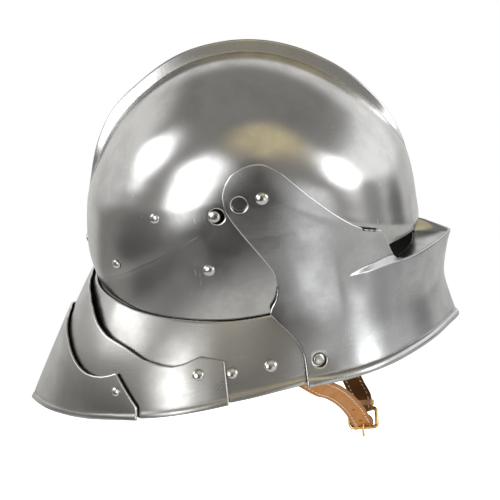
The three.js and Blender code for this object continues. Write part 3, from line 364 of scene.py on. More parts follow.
def plate(name, points, cells, thickness, marks, inner=None):
    """A closed plate from its outer face.

    The inner face is the outer one moved inwards along its normals. Round the edges and holes runs a flattened
    half circle as wide as the plate is thick. The mark "edge" is 1 there.
    """
    normals = facing(points, cells)
    count = len(points)
    starts, ends = cells.ravel(), np.roll(cells, -1, axis=1).ravel()
    real = starts != ends
    starts, ends = starts[real], ends[real]
    rim = ~np.isin(starts * count + ends, ends * count + starts)
    starts, ends = starts[rim], ends[rim]
    run = points[ends] - points[starts]
    run /= np.maximum(np.linalg.norm(run, axis=1, keepdims=True), 1e-9)
    out = np.zeros_like(points)
    np.add.at(out, starts, np.cross(run, normals[starts]))
    np.add.at(out, ends, np.cross(run, normals[ends]))
    edge = np.unique(starts)
    place = np.zeros(count, int)
    place[edge] = np.arange(len(edge))
    outward = out[edge] / np.maximum(np.linalg.norm(out[edge], axis=1, keepdims=True), 1e-9)
    sheets = [points, points - normals * thickness if inner is None else inner]
    turns = np.radians([36, 72, 108, 144])
    rings = [points[edge] + outward * 0.32 * thickness * math.sin(turn)
             + (sheets[1][edge] - points[edge]) * (1 - math.cos(turn)) / 2 for turn in turns]
    numbers = [edge] + [2 * count + k * len(edge) + np.arange(len(edge)) for k in range(4)] + [edge + count]
    strips = [np.stack([a[place[ends]], a[place[starts]], b[place[starts]], b[place[ends]]], 1)
              for a, b in zip(numbers[:-1], numbers[1:])]
    all_marks = {key: np.concatenate([value, value, *[value[edge]] * 4]) for key, value in marks.items()}
    on_edge = np.zeros(count)
    on_edge[edge] = 1
    all_marks["edge"] = np.concatenate([on_edge, on_edge, np.ones(4 * len(edge))])
    # The inside mark picks the inner face: the steel paints it near-black as painted shade, and the leather gives it
    # its flesh side colour.
    all_marks["inside"] = np.concatenate([np.zeros(count), np.ones(count), np.repeat([0, 0, 0.2, 0.6], len(edge))])
    return show(name, np.vstack(sheets + rings), np.vstack([cells, cells[:, ::-1] + count] + strips), all_marks)


# Lames of the tail and neck, which the flange follows: angle from the back about an upright axis behind the centre,
# height of the neck, reach and height of the rim, outward bow, set-off of lame 2 and of lame 3.
NECK_AXIS_X = -10.0
LAME_PLATE, LAME_GAP = 1.6, 0.7
NECK_TABLE = np.array([
    (0, -31.0, 180.5, -122.4, 0.10, 4.2, 7.8), (10, -31.4, 167.5, -121.0, 0.42, 5.6, 9.4),
    (20, -33.6, 155.5, -119.0, 0.76, 6.8, 10.6), (30, -37.0, 147.0, -117.0, 0.86, 6.4, 10.2),
    (40, -42.0, 140.0, -115.0, 0.70, 5.4, 9.0), (50, -46.0, 135.5, -113.5, 0.50, 4.4, 7.8),
    (60, -49.3, 129.5, -112.0, 0.38, 3.6, 6.8), (70, -52.4, 122.5, -110.8, 0.30, 3.0, 6.2),
    (80, -54.8, 116.5, -109.6, 0.22, 3.0, 6.2), (90, -55.4, 113.4, -108.6, 0.15, 3.0, 6.2),
    (100, -55.0, 112.4, -107.8, 0.10, 3.0, 6.2), (122, -54.0, 112.6, -107.0, 0.10, 3.0, 6.2),
])


neck_angles = np.linspace(0, 122, 489)
neck_turns = np.radians(180 - neck_angles)
neck_starts = LAME_GAP + LAME_PLATE + crossing(
    lambda r: bowl_depth(NECK_AXIS_X + r * np.cos(neck_turns), r * np.sin(neck_turns),
                         smooth_column(NECK_TABLE, 1, neck_angles)),
    np.full(neck_angles.shape, 30.0), np.full(neck_angles.shape, 260.0))


def neck_reach(angle, z):
    """Reach of the first lame from its axis: from the skull at the neck to the rim, with a bow between the two."""
    neck_z = smooth_column(NECK_TABLE, 1, angle)
    at_neck = np.interp(angle, neck_angles, neck_starts)
    share = (z - neck_z) / (smooth_column(NECK_TABLE, 3, angle) - neck_z)
    bow = smooth_column(NECK_TABLE, 4, angle) * share * (1 - share)
    return at_neck + (smooth_column(NECK_TABLE, 2, angle) - at_neck) * (share + bow)


def skull_sides():
    """Both halves of the skull's outer face.

    Columns are rays from the pivot, closer together where the lower edge turns across the nape and the brow.
    A row is a fixed quarter-turn angle from the middle plane to the pivot. Below the lower edge it is crowded up to it.
    """
    edge_angle = np.degrees(np.arctan2(SKULL_EDGE[:, 1] - PIVOT[1], SKULL_EDGE[:, 0] - PIVOT[0])) % 360
    edge_rows = np.column_stack([edge_angle, np.hypot(*(SKULL_EDGE - PIVOT).T)])
    nape, brow = edge_angle[0], edge_angle[-1]

    def edge_turn(angle):
        share = np.clip(smooth_column(edge_rows, 1, angle) / bowl_reach(angle), 0, 1)
        return np.arctan2(bowl_half_width(share) / BOWL_HALF_WIDTH, share)

    fine = nape + (brow - nape) * (1 - np.cos(np.linspace(0, np.pi, 4001))) / 2
    share = np.clip(smooth_column(edge_rows, 1, fine) / bowl_reach(fine), 0, 1)
    path = np.column_stack([bowl_reach(fine) * share * np.cos(np.radians(fine)),
                            bowl_reach(fine) * share * np.sin(np.radians(fine)), bowl_half_width(share)])
    length = np.concatenate([[0], np.cumsum(np.linalg.norm(np.diff(path, axis=0), axis=1))])
    along_edge = np.interp(np.linspace(0, length[-1], 151), length, fine)
    over_crown = np.linspace(brow, nape + 360, 171)[1:-1]
    angles = np.concatenate([along_edge, over_crown])
    on_edge = np.arange(len(angles)) < len(along_edge)
    start = np.where(on_edge, edge_turn(np.clip(angles, nape, brow)), 0)
    start[[0, len(along_edge) - 1]] = 0
    y = np.array(COMB_ROWS)
    comb_turns = np.arctan2(y / BOWL_HALF_WIDTH, (1 - (y / BOWL_HALF_WIDTH) ** BOWL_ROUNDNESS) ** (1 / BOWL_ROUNDNESS))
    stud_turn = math.radians(76)
    turns = np.unique(np.concatenate([comb_turns, np.linspace(comb_turns[-1], np.pi / 2, 34)[1:],
                                      stud_turn + np.radians(np.linspace(-5, 5, 20))]))
    angle = np.repeat(angles[:, None], len(turns), 1)
    turn = turns[None] + start[:, None] * np.clip(1 - turns[None] / 1.235, 0, 1)
    size = (np.abs(np.cos(turn)) ** BOWL_ROUNDNESS + np.abs(np.sin(turn)) ** BOWL_ROUNDNESS) ** (-1 / BOWL_ROUNDNESS)
    reach = bowl_reach(angle) * size * np.cos(turn)
    x, z = PIVOT[0] + reach * np.cos(np.radians(angle)), PIVOT[1] + reach * np.sin(np.radians(angle))
    # the columns are numbered afresh from the brow, so that the hole doesn't lie across the seam
    x, z = np.roll(x, 100, 0), np.roll(z, 100, 0)
    x, z, hole = round_hole(x, z, SPRING_STUD_HOLE[:2], SPRING_STUD_HOLE[2], 1.5)
    x, z = np.roll(x, -100, 0), np.roll(z, -100, 0)
    y = np.clip(bowl_half_width(np.hypot(x - PIVOT[0], z - PIVOT[1]) / bowl_reach(
        np.degrees(np.arctan2(z - PIVOT[1], x - PIVOT[0])))), 0, None)
    far = turn < 0.9
    y = np.where(far, BOWL_HALF_WIDTH * size * np.sin(turn), y)
    y[:, -1], x[:, -1], z[:, -1] = BOWL_HALF_WIDTH, PIVOT[0], PIVOT[1]
    height = np.clip(smooth_column(CLOSED_OUTLINE, 2, angle % 360), 0, None)
    flank = np.clip((COMB_BASE - y) / (COMB_BASE - COMB_TOP), 0, 1)
    rise = height * (0.92 * flank + 0.08 * np.clip(1 - y / COMB_TOP, 0, 1) ** 0.6)
    away = np.hypot(x, z)
    grid = np.stack([x + x / away * rise, y, z + z / away * rise], -1)
    columns, rows = x.shape
    cells = grid_cells(columns, rows, wrap=True).reshape(columns, rows - 1, 4)
    keep = np.ones((columns, rows - 1), bool)
    keep[:-1][hole] = False
    keep = np.roll(keep, -100, 0)
    # The groove mark along the foot of the comb darkens it there: dirt and painted shade.
    base = 0.6 * np.exp(-((y - COMB_BASE) / 0.5) ** 2) * (height > 1)
    marks = {"groove": base.ravel()}
    return grid.reshape(-1, 3), cells[keep], marks, angles[on_edge], grid[:len(along_edge), 0]


side_points, side_cells, side_marks, edge_angles, edge_points = skull_sides()
flange_columns = np.flatnonzero(edge_points[:, 0] <= 26)
flange_top = edge_points[flange_columns]
around = np.degrees(np.arctan2(flange_top[:, 1], NECK_AXIS_X - flange_top[:, 0]))
drops = np.array([0, 1.2, 2.6, 4.5, 6.2, 8, 10.5, 13])
low_z = flange_top[:, None, 2] - drops[None]
low_reach = neck_reach(np.repeat(around[:, None], len(drops), 1), low_z) - LAME_PLATE - LAME_GAP - 1.1
top_reach = np.hypot(flange_top[:, 0] - NECK_AXIS_X, flange_top[:, 1])[:, None]
settle = np.clip(drops / 4.5, 0, 1)[None]
low_reach = top_reach * (1 - settle) + low_reach * settle
flange = np.stack([NECK_AXIS_X - low_reach * np.cos(np.radians(around))[:, None],
                   low_reach * np.sin(np.radians(around))[:, None], low_z], -1)
flange[:, 0] = flange_top
flange_cells = grid_cells(len(flange_columns), len(drops), first=len(side_points))[:, ::-1]
half_points = np.vstack([side_points, flange.reshape(-1, 3)])
half_cells = np.vstack([side_cells, flange_cells])
half_groove = np.concatenate([side_marks["groove"], np.zeros(flange.shape[0] * flange.shape[1])])
mirror = np.array([1, -1, 1])
skull_points = np.vstack([half_points, half_points * mirror])
skull_cells = np.vstack([half_cells[:, ::-1], half_cells + len(half_points)])
skull_points, skull_cells, skull_marks = merged(skull_points, skull_cells, {"groove": np.tile(half_groove, 2)})
wave = hand_worked(skull_points, 0.06, 60.0, 4) * np.clip((np.abs(skull_points[:, 1]) - 4) / 10, 0, 1)
skull_points = skull_points + facing(skull_points, skull_cells) * wave[:, None]
skull = plate("skull_plate", skull_points, skull_cells, SKULL_PLATE, skull_marks)
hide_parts("skull")
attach(skull, "helmet")

# Satin steel: an effect for all the plates. Cloudy patches, fine rubbing marks one way and a few scratches
# change the colour, the roughness and the height.
satin = bpy.data.node_groups.new("satin_rubbing", "ShaderNodeTree")
for socket_name, socket_type in (
    ("Rubbing", "NodeSocketVector"), ("Light", "NodeSocketColor"), ("Dull", "NodeSocketColor"),
    ("Least roughness", "NodeSocketFloat"), ("Most roughness", "NodeSocketFloat"),
):
    satin.interface.new_socket(socket_name, in_out="INPUT", socket_type=socket_type)
for socket_name, socket_type in (
    ("Color", "NodeSocketColor"), ("Roughness", "NodeSocketFloat"), ("Height", "NodeSocketFloat"),
):
    satin.interface.new_socket(socket_name, in_out="OUTPUT", socket_type=socket_type)
entry = put(satin, "NodeGroupInput")
leave = put(satin, "NodeGroupOutput")
place = put(satin, "ShaderNodeTexCoord")
rubbed = put(satin, "ShaderNodeVectorMath", operation="MULTIPLY")
grain = put(satin, "ShaderNodeTexNoise", sockets={2: 420.0, 3: 2.0, 4: 0.5})
clouds = put(satin, "ShaderNodeTexNoise", sockets={2: 27.0, 3: 6.0, 4: 0.62})
streaks = put(satin, "ShaderNodeTexNoise", sockets={2: 34.0, 3: 3.0, 4: 0.5})
strongest = put(satin, "ShaderNodeMath", operation="MAXIMUM")
fine_scratch = put(satin, "ShaderNodeMath", operation="MULTIPLY")
some = put(satin, "ShaderNodeMapRange", sockets={1: 0.52, 2: 0.64, 3: 0.0, 4: 0.6})
for k, (tilt, lean, spin, stretch) in enumerate(((0.9, 0.5, 0.9, (360, 360, 20)), (-1.2, 0.7, 2.1, (340, 340, 26)))):
    laid = put(satin, "ShaderNodeMapping", vector_type="POINT", sockets={2: (tilt, lean, spin), 3: stretch})
    strokes = put(satin, "ShaderNodeTexVoronoi", feature="F1", sockets={2: 1.0, 8: 1.0})
    scratched = put(satin, "ShaderNodeMapRange", sockets={1: 0.03, 2: 0.10, 3: 1.0, 4: 0.0})
    join(satin, place.outputs["Object"], laid.inputs[0], laid.outputs[0], strokes.inputs[0],
         strokes.outputs["Distance"], scratched.inputs[0], scratched.outputs[0], strongest.inputs[k])
join(satin, place.outputs["Object"], rubbed.inputs[0], entry.outputs["Rubbing"], rubbed.inputs[1],
     rubbed.outputs[0], grain.inputs[0], place.outputs["Object"], clouds.inputs[0],
     rubbed.outputs[0], streaks.inputs[0], streaks.outputs[0], some.inputs[0],
     strongest.outputs[0], fine_scratch.inputs[0], some.outputs[0], fine_scratch.inputs[1])
cloudy = put(satin, "ShaderNodeMapRange", interpolation_type="SMOOTHERSTEP", sockets={1: 0.3, 2: 0.7})
colour = put(satin, "ShaderNodeMix", data_type="RGBA")
streaky = put(satin, "ShaderNodeMath", operation="MULTIPLY_ADD", sockets={1: 0.45, 2: -0.05})
patch = put(satin, "ShaderNodeMath", operation="MULTIPLY_ADD", sockets={1: 0.55}, use_clamp=True)
rough = put(satin, "ShaderNodeMix")
bared = put(satin, "ShaderNodeMix", data_type="RGBA", sockets={7: (0.80, 0.79, 0.76, 1)})
torn = put(satin, "ShaderNodeMath", operation="MULTIPLY_ADD", sockets={1: 0.25})
low = put(satin, "ShaderNodeMath", operation="MULTIPLY_ADD", sockets={1: -1.5})
join(satin, clouds.outputs[0], cloudy.inputs[0], streaks.outputs[0], streaky.inputs[0],
     cloudy.outputs[0], patch.inputs[0], streaky.outputs[0], patch.inputs[2],
     patch.outputs[0], colour.inputs[0], entry.outputs["Light"], colour.inputs[6], entry.outputs["Dull"],
     colour.inputs[7], fine_scratch.outputs[0], bared.inputs[0], colour.outputs[2], bared.inputs[6],
     bared.outputs[2], leave.inputs[0],
     patch.outputs[0], rough.inputs[0], entry.outputs["Least roughness"], rough.inputs[2],
     entry.outputs["Most roughness"], rough.inputs[3], fine_scratch.outputs[0], torn.inputs[0],
     rough.outputs[0], torn.inputs[2], torn.outputs[0], leave.inputs[1],
     fine_scratch.outputs[0], low.inputs[0], grain.outputs[0], low.inputs[2], low.outputs[0], leave.inputs[2])

# Wear at the edges of a plate, dirt and painted shade in its grooves, and painted shade on its inner face, from the
# marks on its mesh.
wear_and_shade_group = bpy.data.node_groups.new("edge_wear_and_painted_shade", "ShaderNodeTree")
for socket_name, socket_type in (
    ("Color", "NodeSocketColor"), ("Roughness", "NodeSocketFloat"), ("Bright edge", "NodeSocketColor"),
    ("Dirt and shade", "NodeSocketColor"), ("Inside", "NodeSocketColor"),
):
    wear_and_shade_group.interface.new_socket(socket_name, in_out="INPUT", socket_type=socket_type)
for socket_name, socket_type in (("Color", "NodeSocketColor"), ("Roughness", "NodeSocketFloat")):
    wear_and_shade_group.interface.new_socket(socket_name, in_out="OUTPUT", socket_type=socket_type)
entry = put(wear_and_shade_group, "NodeGroupInput")
leave = put(wear_and_shade_group, "NodeGroupOutput")
place = put(wear_and_shade_group, "ShaderNodeTexCoord")
edge_mark = put(wear_and_shade_group, "ShaderNodeAttribute", attribute_name="edge")
groove_mark = put(wear_and_shade_group, "ShaderNodeAttribute", attribute_name="groove")
inside_mark = put(wear_and_shade_group, "ShaderNodeAttribute", attribute_name="inside")
broken = put(wear_and_shade_group, "ShaderNodeTexNoise", sockets={2: 120.0, 3: 5.0})
edge_share = put(wear_and_shade_group, "ShaderNodeMapRange", sockets={1: 0.7, 2: 1.0, 3: 0.0, 4: 0.6})
# The inner face is painted near-black: painted shade of the enclosed inside.
hidden = put(wear_and_shade_group, "ShaderNodeMapRange", sockets={1: 0.35, 2: 0.9})
inside_shaded = put(wear_and_shade_group, "ShaderNodeMix", data_type="RGBA")
duller = put(wear_and_shade_group, "ShaderNodeMix", sockets={3: 0.55})
brightened = put(wear_and_shade_group, "ShaderNodeMix", data_type="RGBA")
# Grooves darken towards the dirt colour: partly dirt, partly painted shade where a groove would lie in shadow.
dirt_and_shade_level = put(wear_and_shade_group, "ShaderNodeMapRange", sockets={1: 0.25, 2: 0.75, 3: 0.15, 4: 0.8})
dirt_and_shade_share = put(wear_and_shade_group, "ShaderNodeMath", operation="MULTIPLY")
groove_darkened = put(wear_and_shade_group, "ShaderNodeMix", data_type="RGBA")
smoother = put(wear_and_shade_group, "ShaderNodeMath", operation="MULTIPLY_ADD", sockets={1: -0.07})
rougher = put(wear_and_shade_group, "ShaderNodeMath", operation="MULTIPLY_ADD", sockets={1: 0.35}, use_clamp=True)
join(wear_and_shade_group, place.outputs["Object"], broken.inputs[0], edge_mark.outputs["Fac"], edge_share.inputs[0],
     edge_share.outputs[0], brightened.inputs[0], entry.outputs["Color"], brightened.inputs[6],
     entry.outputs["Bright edge"], brightened.inputs[7], broken.outputs[0], dirt_and_shade_level.inputs[0],
     dirt_and_shade_level.outputs[0], dirt_and_shade_share.inputs[0], groove_mark.outputs["Fac"], dirt_and_shade_share.inputs[1],
     dirt_and_shade_share.outputs[0], groove_darkened.inputs[0], brightened.outputs[2], groove_darkened.inputs[6],
     entry.outputs["Dirt and shade"], groove_darkened.inputs[7], inside_mark.outputs["Fac"], hidden.inputs[0],
     hidden.outputs[0], inside_shaded.inputs[0], groove_darkened.outputs[2], inside_shaded.inputs[6],
     entry.outputs["Inside"], inside_shaded.inputs[7], inside_shaded.outputs[2], leave.inputs[0],
     edge_share.outputs[0], smoother.inputs[0], entry.outputs["Roughness"], smoother.inputs[2],
     dirt_and_shade_share.outputs[0], rougher.inputs[0], smoother.outputs[0], rougher.inputs[2],
     hidden.outputs[0], duller.inputs[0], rougher.outputs[0], duller.inputs[2],
     duller.outputs[0], leave.inputs[1])


def plate_steel(name, light, dull, least, most, rubbing, height, bright=(0.82, 0.82, 0.81), dirt_and_shade=(0.22, 0.20, 0.17)):
    """Steel of one plate: its own colours, roughness range, rubbing direction and height of the marks."""
    finish = bpy.data.materials.new(name)
    finish.use_nodes = True
    tree = finish.node_tree
    shader = tree.nodes["Principled BSDF"]
    shader.inputs["Metallic"].default_value = 1.0
    rubbed = put(tree, "ShaderNodeGroup", node_tree=satin,
                 sockets={0: rubbing, 1: (*light, 1), 2: (*dull, 1), 3: least, 4: most})
    # The dirt colour darkens the grooves as dirt and painted shade; the near-black colour is painted shade on the inner
    # face.
    wear_and_shade = put(tree, "ShaderNodeGroup", node_tree=wear_and_shade_group, sockets={2: (*bright, 1), 3: (*dirt_and_shade, 1), 4: (0.04, 0.037, 0.033, 1)})
    bump = put(tree, "ShaderNodeBump", sockets={0: 1.0, 1: height})
    join(tree, rubbed.outputs[0], wear_and_shade.inputs[0], rubbed.outputs[1], wear_and_shade.inputs[1],
         wear_and_shade.outputs[0], shader.inputs["Base Color"], wear_and_shade.outputs[1], shader.inputs["Roughness"],
         rubbed.outputs[2], bump.inputs["Height"], bump.outputs[0], shader.inputs["Normal"])
    return finish


skull_steel = plate_steel("skull_steel", (0.60, 0.60, 0.595), (0.41, 0.41, 0.405), 0.15, 0.28, (1.0, 1.0, 0.25), 0.000012)
skull.data.materials.append(skull_steel)

# Lames: three steel plates 1.6 mm thick that slide over each other behind and below the neck, each pinned
# by one rivet a side. Their lower border is turned and rubbed bright.
LAME_1_BOTTOM = np.array([(0, -50), (15, -53), (30, -70), (45, -84), (60, -97), (70, -102), (77, -109.6), (84, -109.3),
                          (95, -108.2), (122, -107.0)])
LAME_1_END = 121.0
LAME_2_TOP = np.array([(0, -31.5), (10, -31.8), (17, -35), (23, -41.5), (29, -51), (34, -57.7), (42, -65), (49, -73),
                       (55, -77), (59, -78.4), (63, -77.4), (68.2, -74.2), (73, -77.3), (78, -80.8)])
LAME_2_BOTTOM = np.array([(0, -75), (20, -88), (33, -103), (42, -106), (48, -113.6), (60, -112.0), (78, -109.8)])
LAME_2_END = 76.6
LAME_3_TOP = np.array([(0, -55.3), (7, -56.8), (13, -61.5), (17, -65.3), (20.6, -70.9), (24.2, -76.8), (27, -80.6),
                       (30, -83.3), (33, -84.3), (36, -84.2), (38.9, -82.7), (41, -80.9), (48, -80.9)])
LAME_3_TOP_END, LAME_3_FRONT_END = 40.6, 48.0
BORDER_WIDTH, BORDER_RISE = 4.6, 0.7
CATCH_HOLE = (30.7, -92.1, 5.7)
CATCH_HOLE_IN_LAME = 4.9


def border_relief(above_edge):
    """Turned border: a rounded swelling from the edge up to the border's width, with a shallow groove above it."""
    share = np.clip(above_edge / BORDER_WIDTH, 0, 1)
    swell = BORDER_RISE * np.sqrt(np.clip(1 - (2 * share - 1) ** 2, 0, 1))
    groove = -0.18 * np.exp(-((above_edge - BORDER_WIDTH - 0.5) / 0.6) ** 2)
    return np.where(above_edge < BORDER_WIDTH, swell, 0) + groove


def lame(name, top_of, bottom_of, end_top, end_bottom, set_off, columns, bordered_from, hole=None):
    """One lame: a grid from end to end round the neck axis and from its upper edge down to its lower edge.

    Its reach is the first lame's with its own set-off. The last rows follow the turned border, which fades out
    nearer the back than the angle bordered_from, where the next lame covers it.
    """
    levels = np.concatenate([np.linspace(0, 1, 34)[:-1] * 0.92, 0.92 + 0.08 * np.linspace(0, 1, 17)])
    share = np.linspace(-1, 1, 2 * columns + 1)[:, None] * np.ones(len(levels))
    end = end_top + (end_bottom - end_top) * np.minimum(1, levels * 1.4)[None]
    angle = np.abs(share) * end
    top, bottom = top_of(angle), bottom_of(angle)
    z = top + (bottom - top) * levels[None]
    signed = np.where(share < 0, -angle, angle)
    gone = np.zeros((len(share) - 1, len(levels) - 1), bool)
    if hole is not None:
        x, z_hole, radius = hole
        around = crossing(lambda a: NECK_AXIS_X - neck_reach(a, z_hole) * np.cos(np.radians(a)) < x, 60.0, 120.0)
        scale = float(neck_reach(around, z_hole)) * math.pi / 180
        for side in (-1, 1):
            p, z, cut = round_hole(signed * scale, z, (side * float(around) * scale, z_hole), radius)
            signed = p / scale
            gone |= cut
        angle = np.abs(signed)
    bottom = bottom_of(angle)
    fade = np.clip((angle - bordered_from) / 4, 0, 1)
    above = z - bottom
    reach = neck_reach(angle, z) + set_off(angle) + border_relief(above) * fade
    x = NECK_AXIS_X - reach * np.cos(np.radians(angle))
    y = reach * np.sin(np.radians(signed))
    points = np.stack([x, y, z], -1).reshape(-1, 3)
    # The groove mark above the turned border darkens it there: dirt and painted shade.
    groove = 0.6 * np.exp(-((above - BORDER_WIDTH - 0.4) / 0.7) ** 2) * fade
    cells = grid_cells(2 * columns + 1, len(levels))[~gone.ravel()]
    wave = hand_worked(points, 0.09, 46.0, len(name) + columns)
    points = points + facing(points, cells) * wave[:, None]
    made = plate(name + "_plate", points, cells, LAME_PLATE, {"groove": groove.ravel()})
    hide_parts(name)
    return made


def level_of(rows):
    """Height of an edge given by angle and height, straight between its corners."""
    return lambda angle: np.interp(angle, rows[:, 0], rows[:, 1])


def column_of(rows, column):
    return lambda angle: smooth_column(rows, column, angle)


lame_1 = lame("lame_1", column_of(NECK_TABLE, 1), level_of(LAME_1_BOTTOM), LAME_1_END, LAME_1_END,
              lambda angle: 0.0, 150, 74.0, (*CATCH_HOLE[:2], CATCH_HOLE_IN_LAME))
lame_2 = lame("lame_2", level_of(LAME_2_TOP), level_of(LAME_2_BOTTOM), LAME_2_END, LAME_2_END,
              column_of(NECK_TABLE, 5), 120, 44.0)
lame_3 = lame("lame_3", level_of(LAME_3_TOP), column_of(NECK_TABLE, 3), LAME_3_TOP_END, LAME_3_FRONT_END,
              column_of(NECK_TABLE, 6), 90, -10.0)
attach(lame_1, "helmet")
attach(lame_2, "lame_2")
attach(lame_3, "lame_3")
lame_steel = plate_steel("lame_steel", (0.50, 0.495, 0.48), (0.32, 0.315, 0.305), 0.24, 0.38, (0.25, 0.25, 2.2), 0.00003)
for made in (lame_1, lame_2, lame_3):
    made.data.materials.append(lame_steel)

# Visor: one steel plate 1.8 mm thick, with an arm on each side that turns on a pivot in the bowl.
# Its upper edge is drawn inwards as a shelf below the sights, and its rim is rolled outwards.
VISOR_PLATE, VISOR_GAP = 1.8, 1.1
# angle from the front about the bowl's centre, reach and height of the shelf's edge, reach of the wall
# at three heights, reach and height of the rim, height of the inner crease
WALL_HEIGHTS = (-58.0, -78.0, -94.0)
VISOR_TABLE = np.array([
    (0, 144.7, -45.5, 139.6, 134.4, 135.6, 139.5, -116.0, -41.0), (8.4, 136.8, -45.0, 133.6, 129.8, 130.0, 132.0, -115.0, -41.0),
    (16, 130.7, -44.3, 128.5, 125.6, 126.0, 127.8, -114.2, -41.0), (24, 126.1, -43.5, 124.5, 122.4, 122.8, 124.9, -113.3, -41.0),
    (30, 122.4, -42.6, 121.4, 120.0, 120.8, 123.0, -112.8, -40.4), (36.4, 118.6, -41.5, 118.2, 117.6, 119.0, 121.6, -112.3, -36.4),
    (47, 115.0, -40.0, 114.8, 115.6, 117.8, 120.8, -111.5, -36.6), (56.7, 111.4, -38.8, 111.8, 113.8, 116.2, 119.8, -110.8, -37.8),
    (66, 108.6, -38.8, 108.6, 111.4, 113.8, 117.6, -110.2, -37.8), (80, 103.6, -38.8, 104.4, 108.4, 111.6, 115.7, -108.4, -37.8),
    (94, 102.5, -38.8, 103.4, 107.6, 111.6, 116.5, -107.8, -37.8), (104, 102.5, -38.8, 104.0, 109.0, 113.0, 118.0, -107.6, -37.8),
])
# x and z of the arm's outline: its front edge from the slot up to the top, its top, and its back edge down
ARM_FRONT = np.array([(97.0, -36.5), (96.2, -34.4), (94.8, -27.6), (93.6, -20.4), (90.4, -12.6), (77.2, -5.7),
                      (63.7, 6.6), (45.7, 27.0), (37.5, 37.0), (28.2, 48.3)])
ARM_TOP = np.array([(28.2, 48.3), (16.9, 56.4), (5.6, 57.1), (-5.0, 53.2), (-11.2, 46.6)])
ARM_BACK = np.array([(-11.2, 46.6), (-14.6, 38.6), (-14.1, 27.6), (-7.1, 11.6), (4.6, -10.0), (10.6, -22.6),
                     (11.8, -34.2), (10.6, -37.8)])
CHEEK_BACK = np.array([(10.6, -37.8), (8.6, -43.6), (3.2, -52.4), (6.6, -58.4), (12.2, -65.9), (17.4, -74.2),
                       (20.4, -81.0), (21.6, -89.2), (19.6, -120.0)])
SLOT_CORNER = (98.6, -40.6)
ARM_HOLE = (-4.2, 31.2, 6.2)
RIM_ROLL_HEIGHT, RIM_ROLL_RISE, RIM_ROLL_END = 6.5, 1.9, 78.0


def over_bowl(x, y, z):
    """How far a point lies inside the visor's outer face where its arm lies over the bowl."""
    out = np.hypot(x, y)
    inwards = 1 - (VISOR_GAP + VISOR_PLATE) / np.maximum(out, 1e-6)
    return bowl_depth(x * inwards, y * inwards, z)


def over_bowl_reach(angle, z):
    turn = np.radians(angle)
    return crossing(lambda r: over_bowl(r * np.cos(turn), r * np.sin(turn), z),
                    np.full(np.broadcast(angle, z).shape, 30.0), np.full(np.broadcast(angle, z).shape, 260.0))


def neck_depth(x, y, z):
    """How far a point lies inside the first lame."""
    angle = np.minimum(np.degrees(np.arctan2(np.abs(y), NECK_AXIS_X - x)), LAME_1_END)
    return neck_reach(angle, z) - np.hypot(x - NECK_AXIS_X, y)


def spot_on(depth, x, z, side):
    """A place on a face seen from the side, and the outward direction there."""
    y = float(crossing(lambda w: depth(x, w, z), 0.0, 160.0))
    steps = np.eye(3)
    slope = [float(depth(x - d[0], y - d[1], z - d[2]) - depth(x + d[0], y + d[1], z + d[2])) for d in steps]
    normal = np.array(slope) / np.linalg.norm(slope)
    return np.array([x, y * side, z]), normal * (1, side, 1)


def edge_reach(angle):
    """Reach of the shelf's edge. The shelf narrows towards the side and runs out into the bowl behind 57 degrees."""
    bowl = over_bowl_reach(angle, smooth_column(VISOR_TABLE, 2, angle))
    left = np.clip((57 - np.asarray(angle, float)) / 9, 0, 1)
    return bowl + np.maximum(smooth_column(VISOR_TABLE, 1, angle) - bowl, 0) * left * left * (3 - 2 * left)


def wall_reach(angle, z):
    """Reach of the visor's wall: a smooth curve through the shelf's edge, three heights and the rim, and over the
    neck lame at the back."""
    edge_z, rim_z = smooth_column(VISOR_TABLE, 2, angle), smooth_column(VISOR_TABLE, 7, angle)
    edge = edge_reach(angle)
    knots_z = [edge_z, *[np.full_like(angle, h) for h in WALL_HEIGHTS], rim_z]
    knots = [edge] + [smooth_column(VISOR_TABLE, column, angle) for column in (3, 4, 5, 6)]
    slopes = []
    for k in range(5):
        a, b = max(k - 1, 0), min(k + 1, 4)
        slopes.append((knots[b] - knots[a]) / (knots_z[b] - knots_z[a]))
    reach = knots[4] + (z - knots_z[4]) * slopes[4]
    for k in range(4):
        span = knots_z[k + 1] - knots_z[k]
        t = np.clip((z - knots_z[k]) / span, 0, 1)
        piece = ((2 * t**3 - 3 * t**2 + 1) * knots[k] + (t**3 - 2 * t**2 + t) * span * slopes[k]
                 + (3 * t**2 - 2 * t**3) * knots[k + 1] + (t**3 - t**2) * span * slopes[k + 1])
        reach = np.where((z <= knots_z[k]) & (z >= knots_z[k + 1]), piece, reach)
    return np.where(z > edge_z, edge, reach)


def over_neck_reach(angle, z):
    turn = np.radians(angle)
    shape = np.broadcast(angle, z).shape
    return crossing(lambda r: neck_depth(r * np.cos(turn), r * np.sin(turn), z),
                    np.full(shape, 80.0), np.full(shape, 160.0)) + VISOR_GAP + VISOR_PLATE


def along(corners, count, spread=1.0):
    """Evenly spaced points along a smooth curve through corners given by x and z."""
    steps = np.concatenate([[0], np.cumsum(np.hypot(*np.diff(corners, axis=0).T))])
    rows = np.column_stack([steps, corners])
    fine = np.linspace(0, steps[-1], 2000)
    path = np.column_stack([smooth_column(rows, 1, fine), smooth_column(rows, 2, fine)])
    length = np.concatenate([[0], np.cumsum(np.hypot(*np.diff(path, axis=0).T))])
    at = length[-1] * np.linspace(0, 1, count) ** spread
    return np.column_stack([np.interp(at, length, path[:, 0]), np.interp(at, length, path[:, 1])])


# The crease where the arm meets the shelf, and the rows of the shelf and of the wall below it
SIDE_COLUMNS, ARM_ROWS, FRONT_COLUMNS = 84, 108, 110
crease_end = float(crossing(lambda a: 97.0 - over_bowl_reach(a, smooth_column(VISOR_TABLE, 8, a)) * np.cos(np.radians(a)) < 0,
                            20.0, 60.0))
crease_start = float(crossing(lambda a: 10.6 - over_bowl_reach(a, smooth_column(VISOR_TABLE, 8, a)) * np.cos(np.radians(a)) < 0,
                              60.0, 100.0))


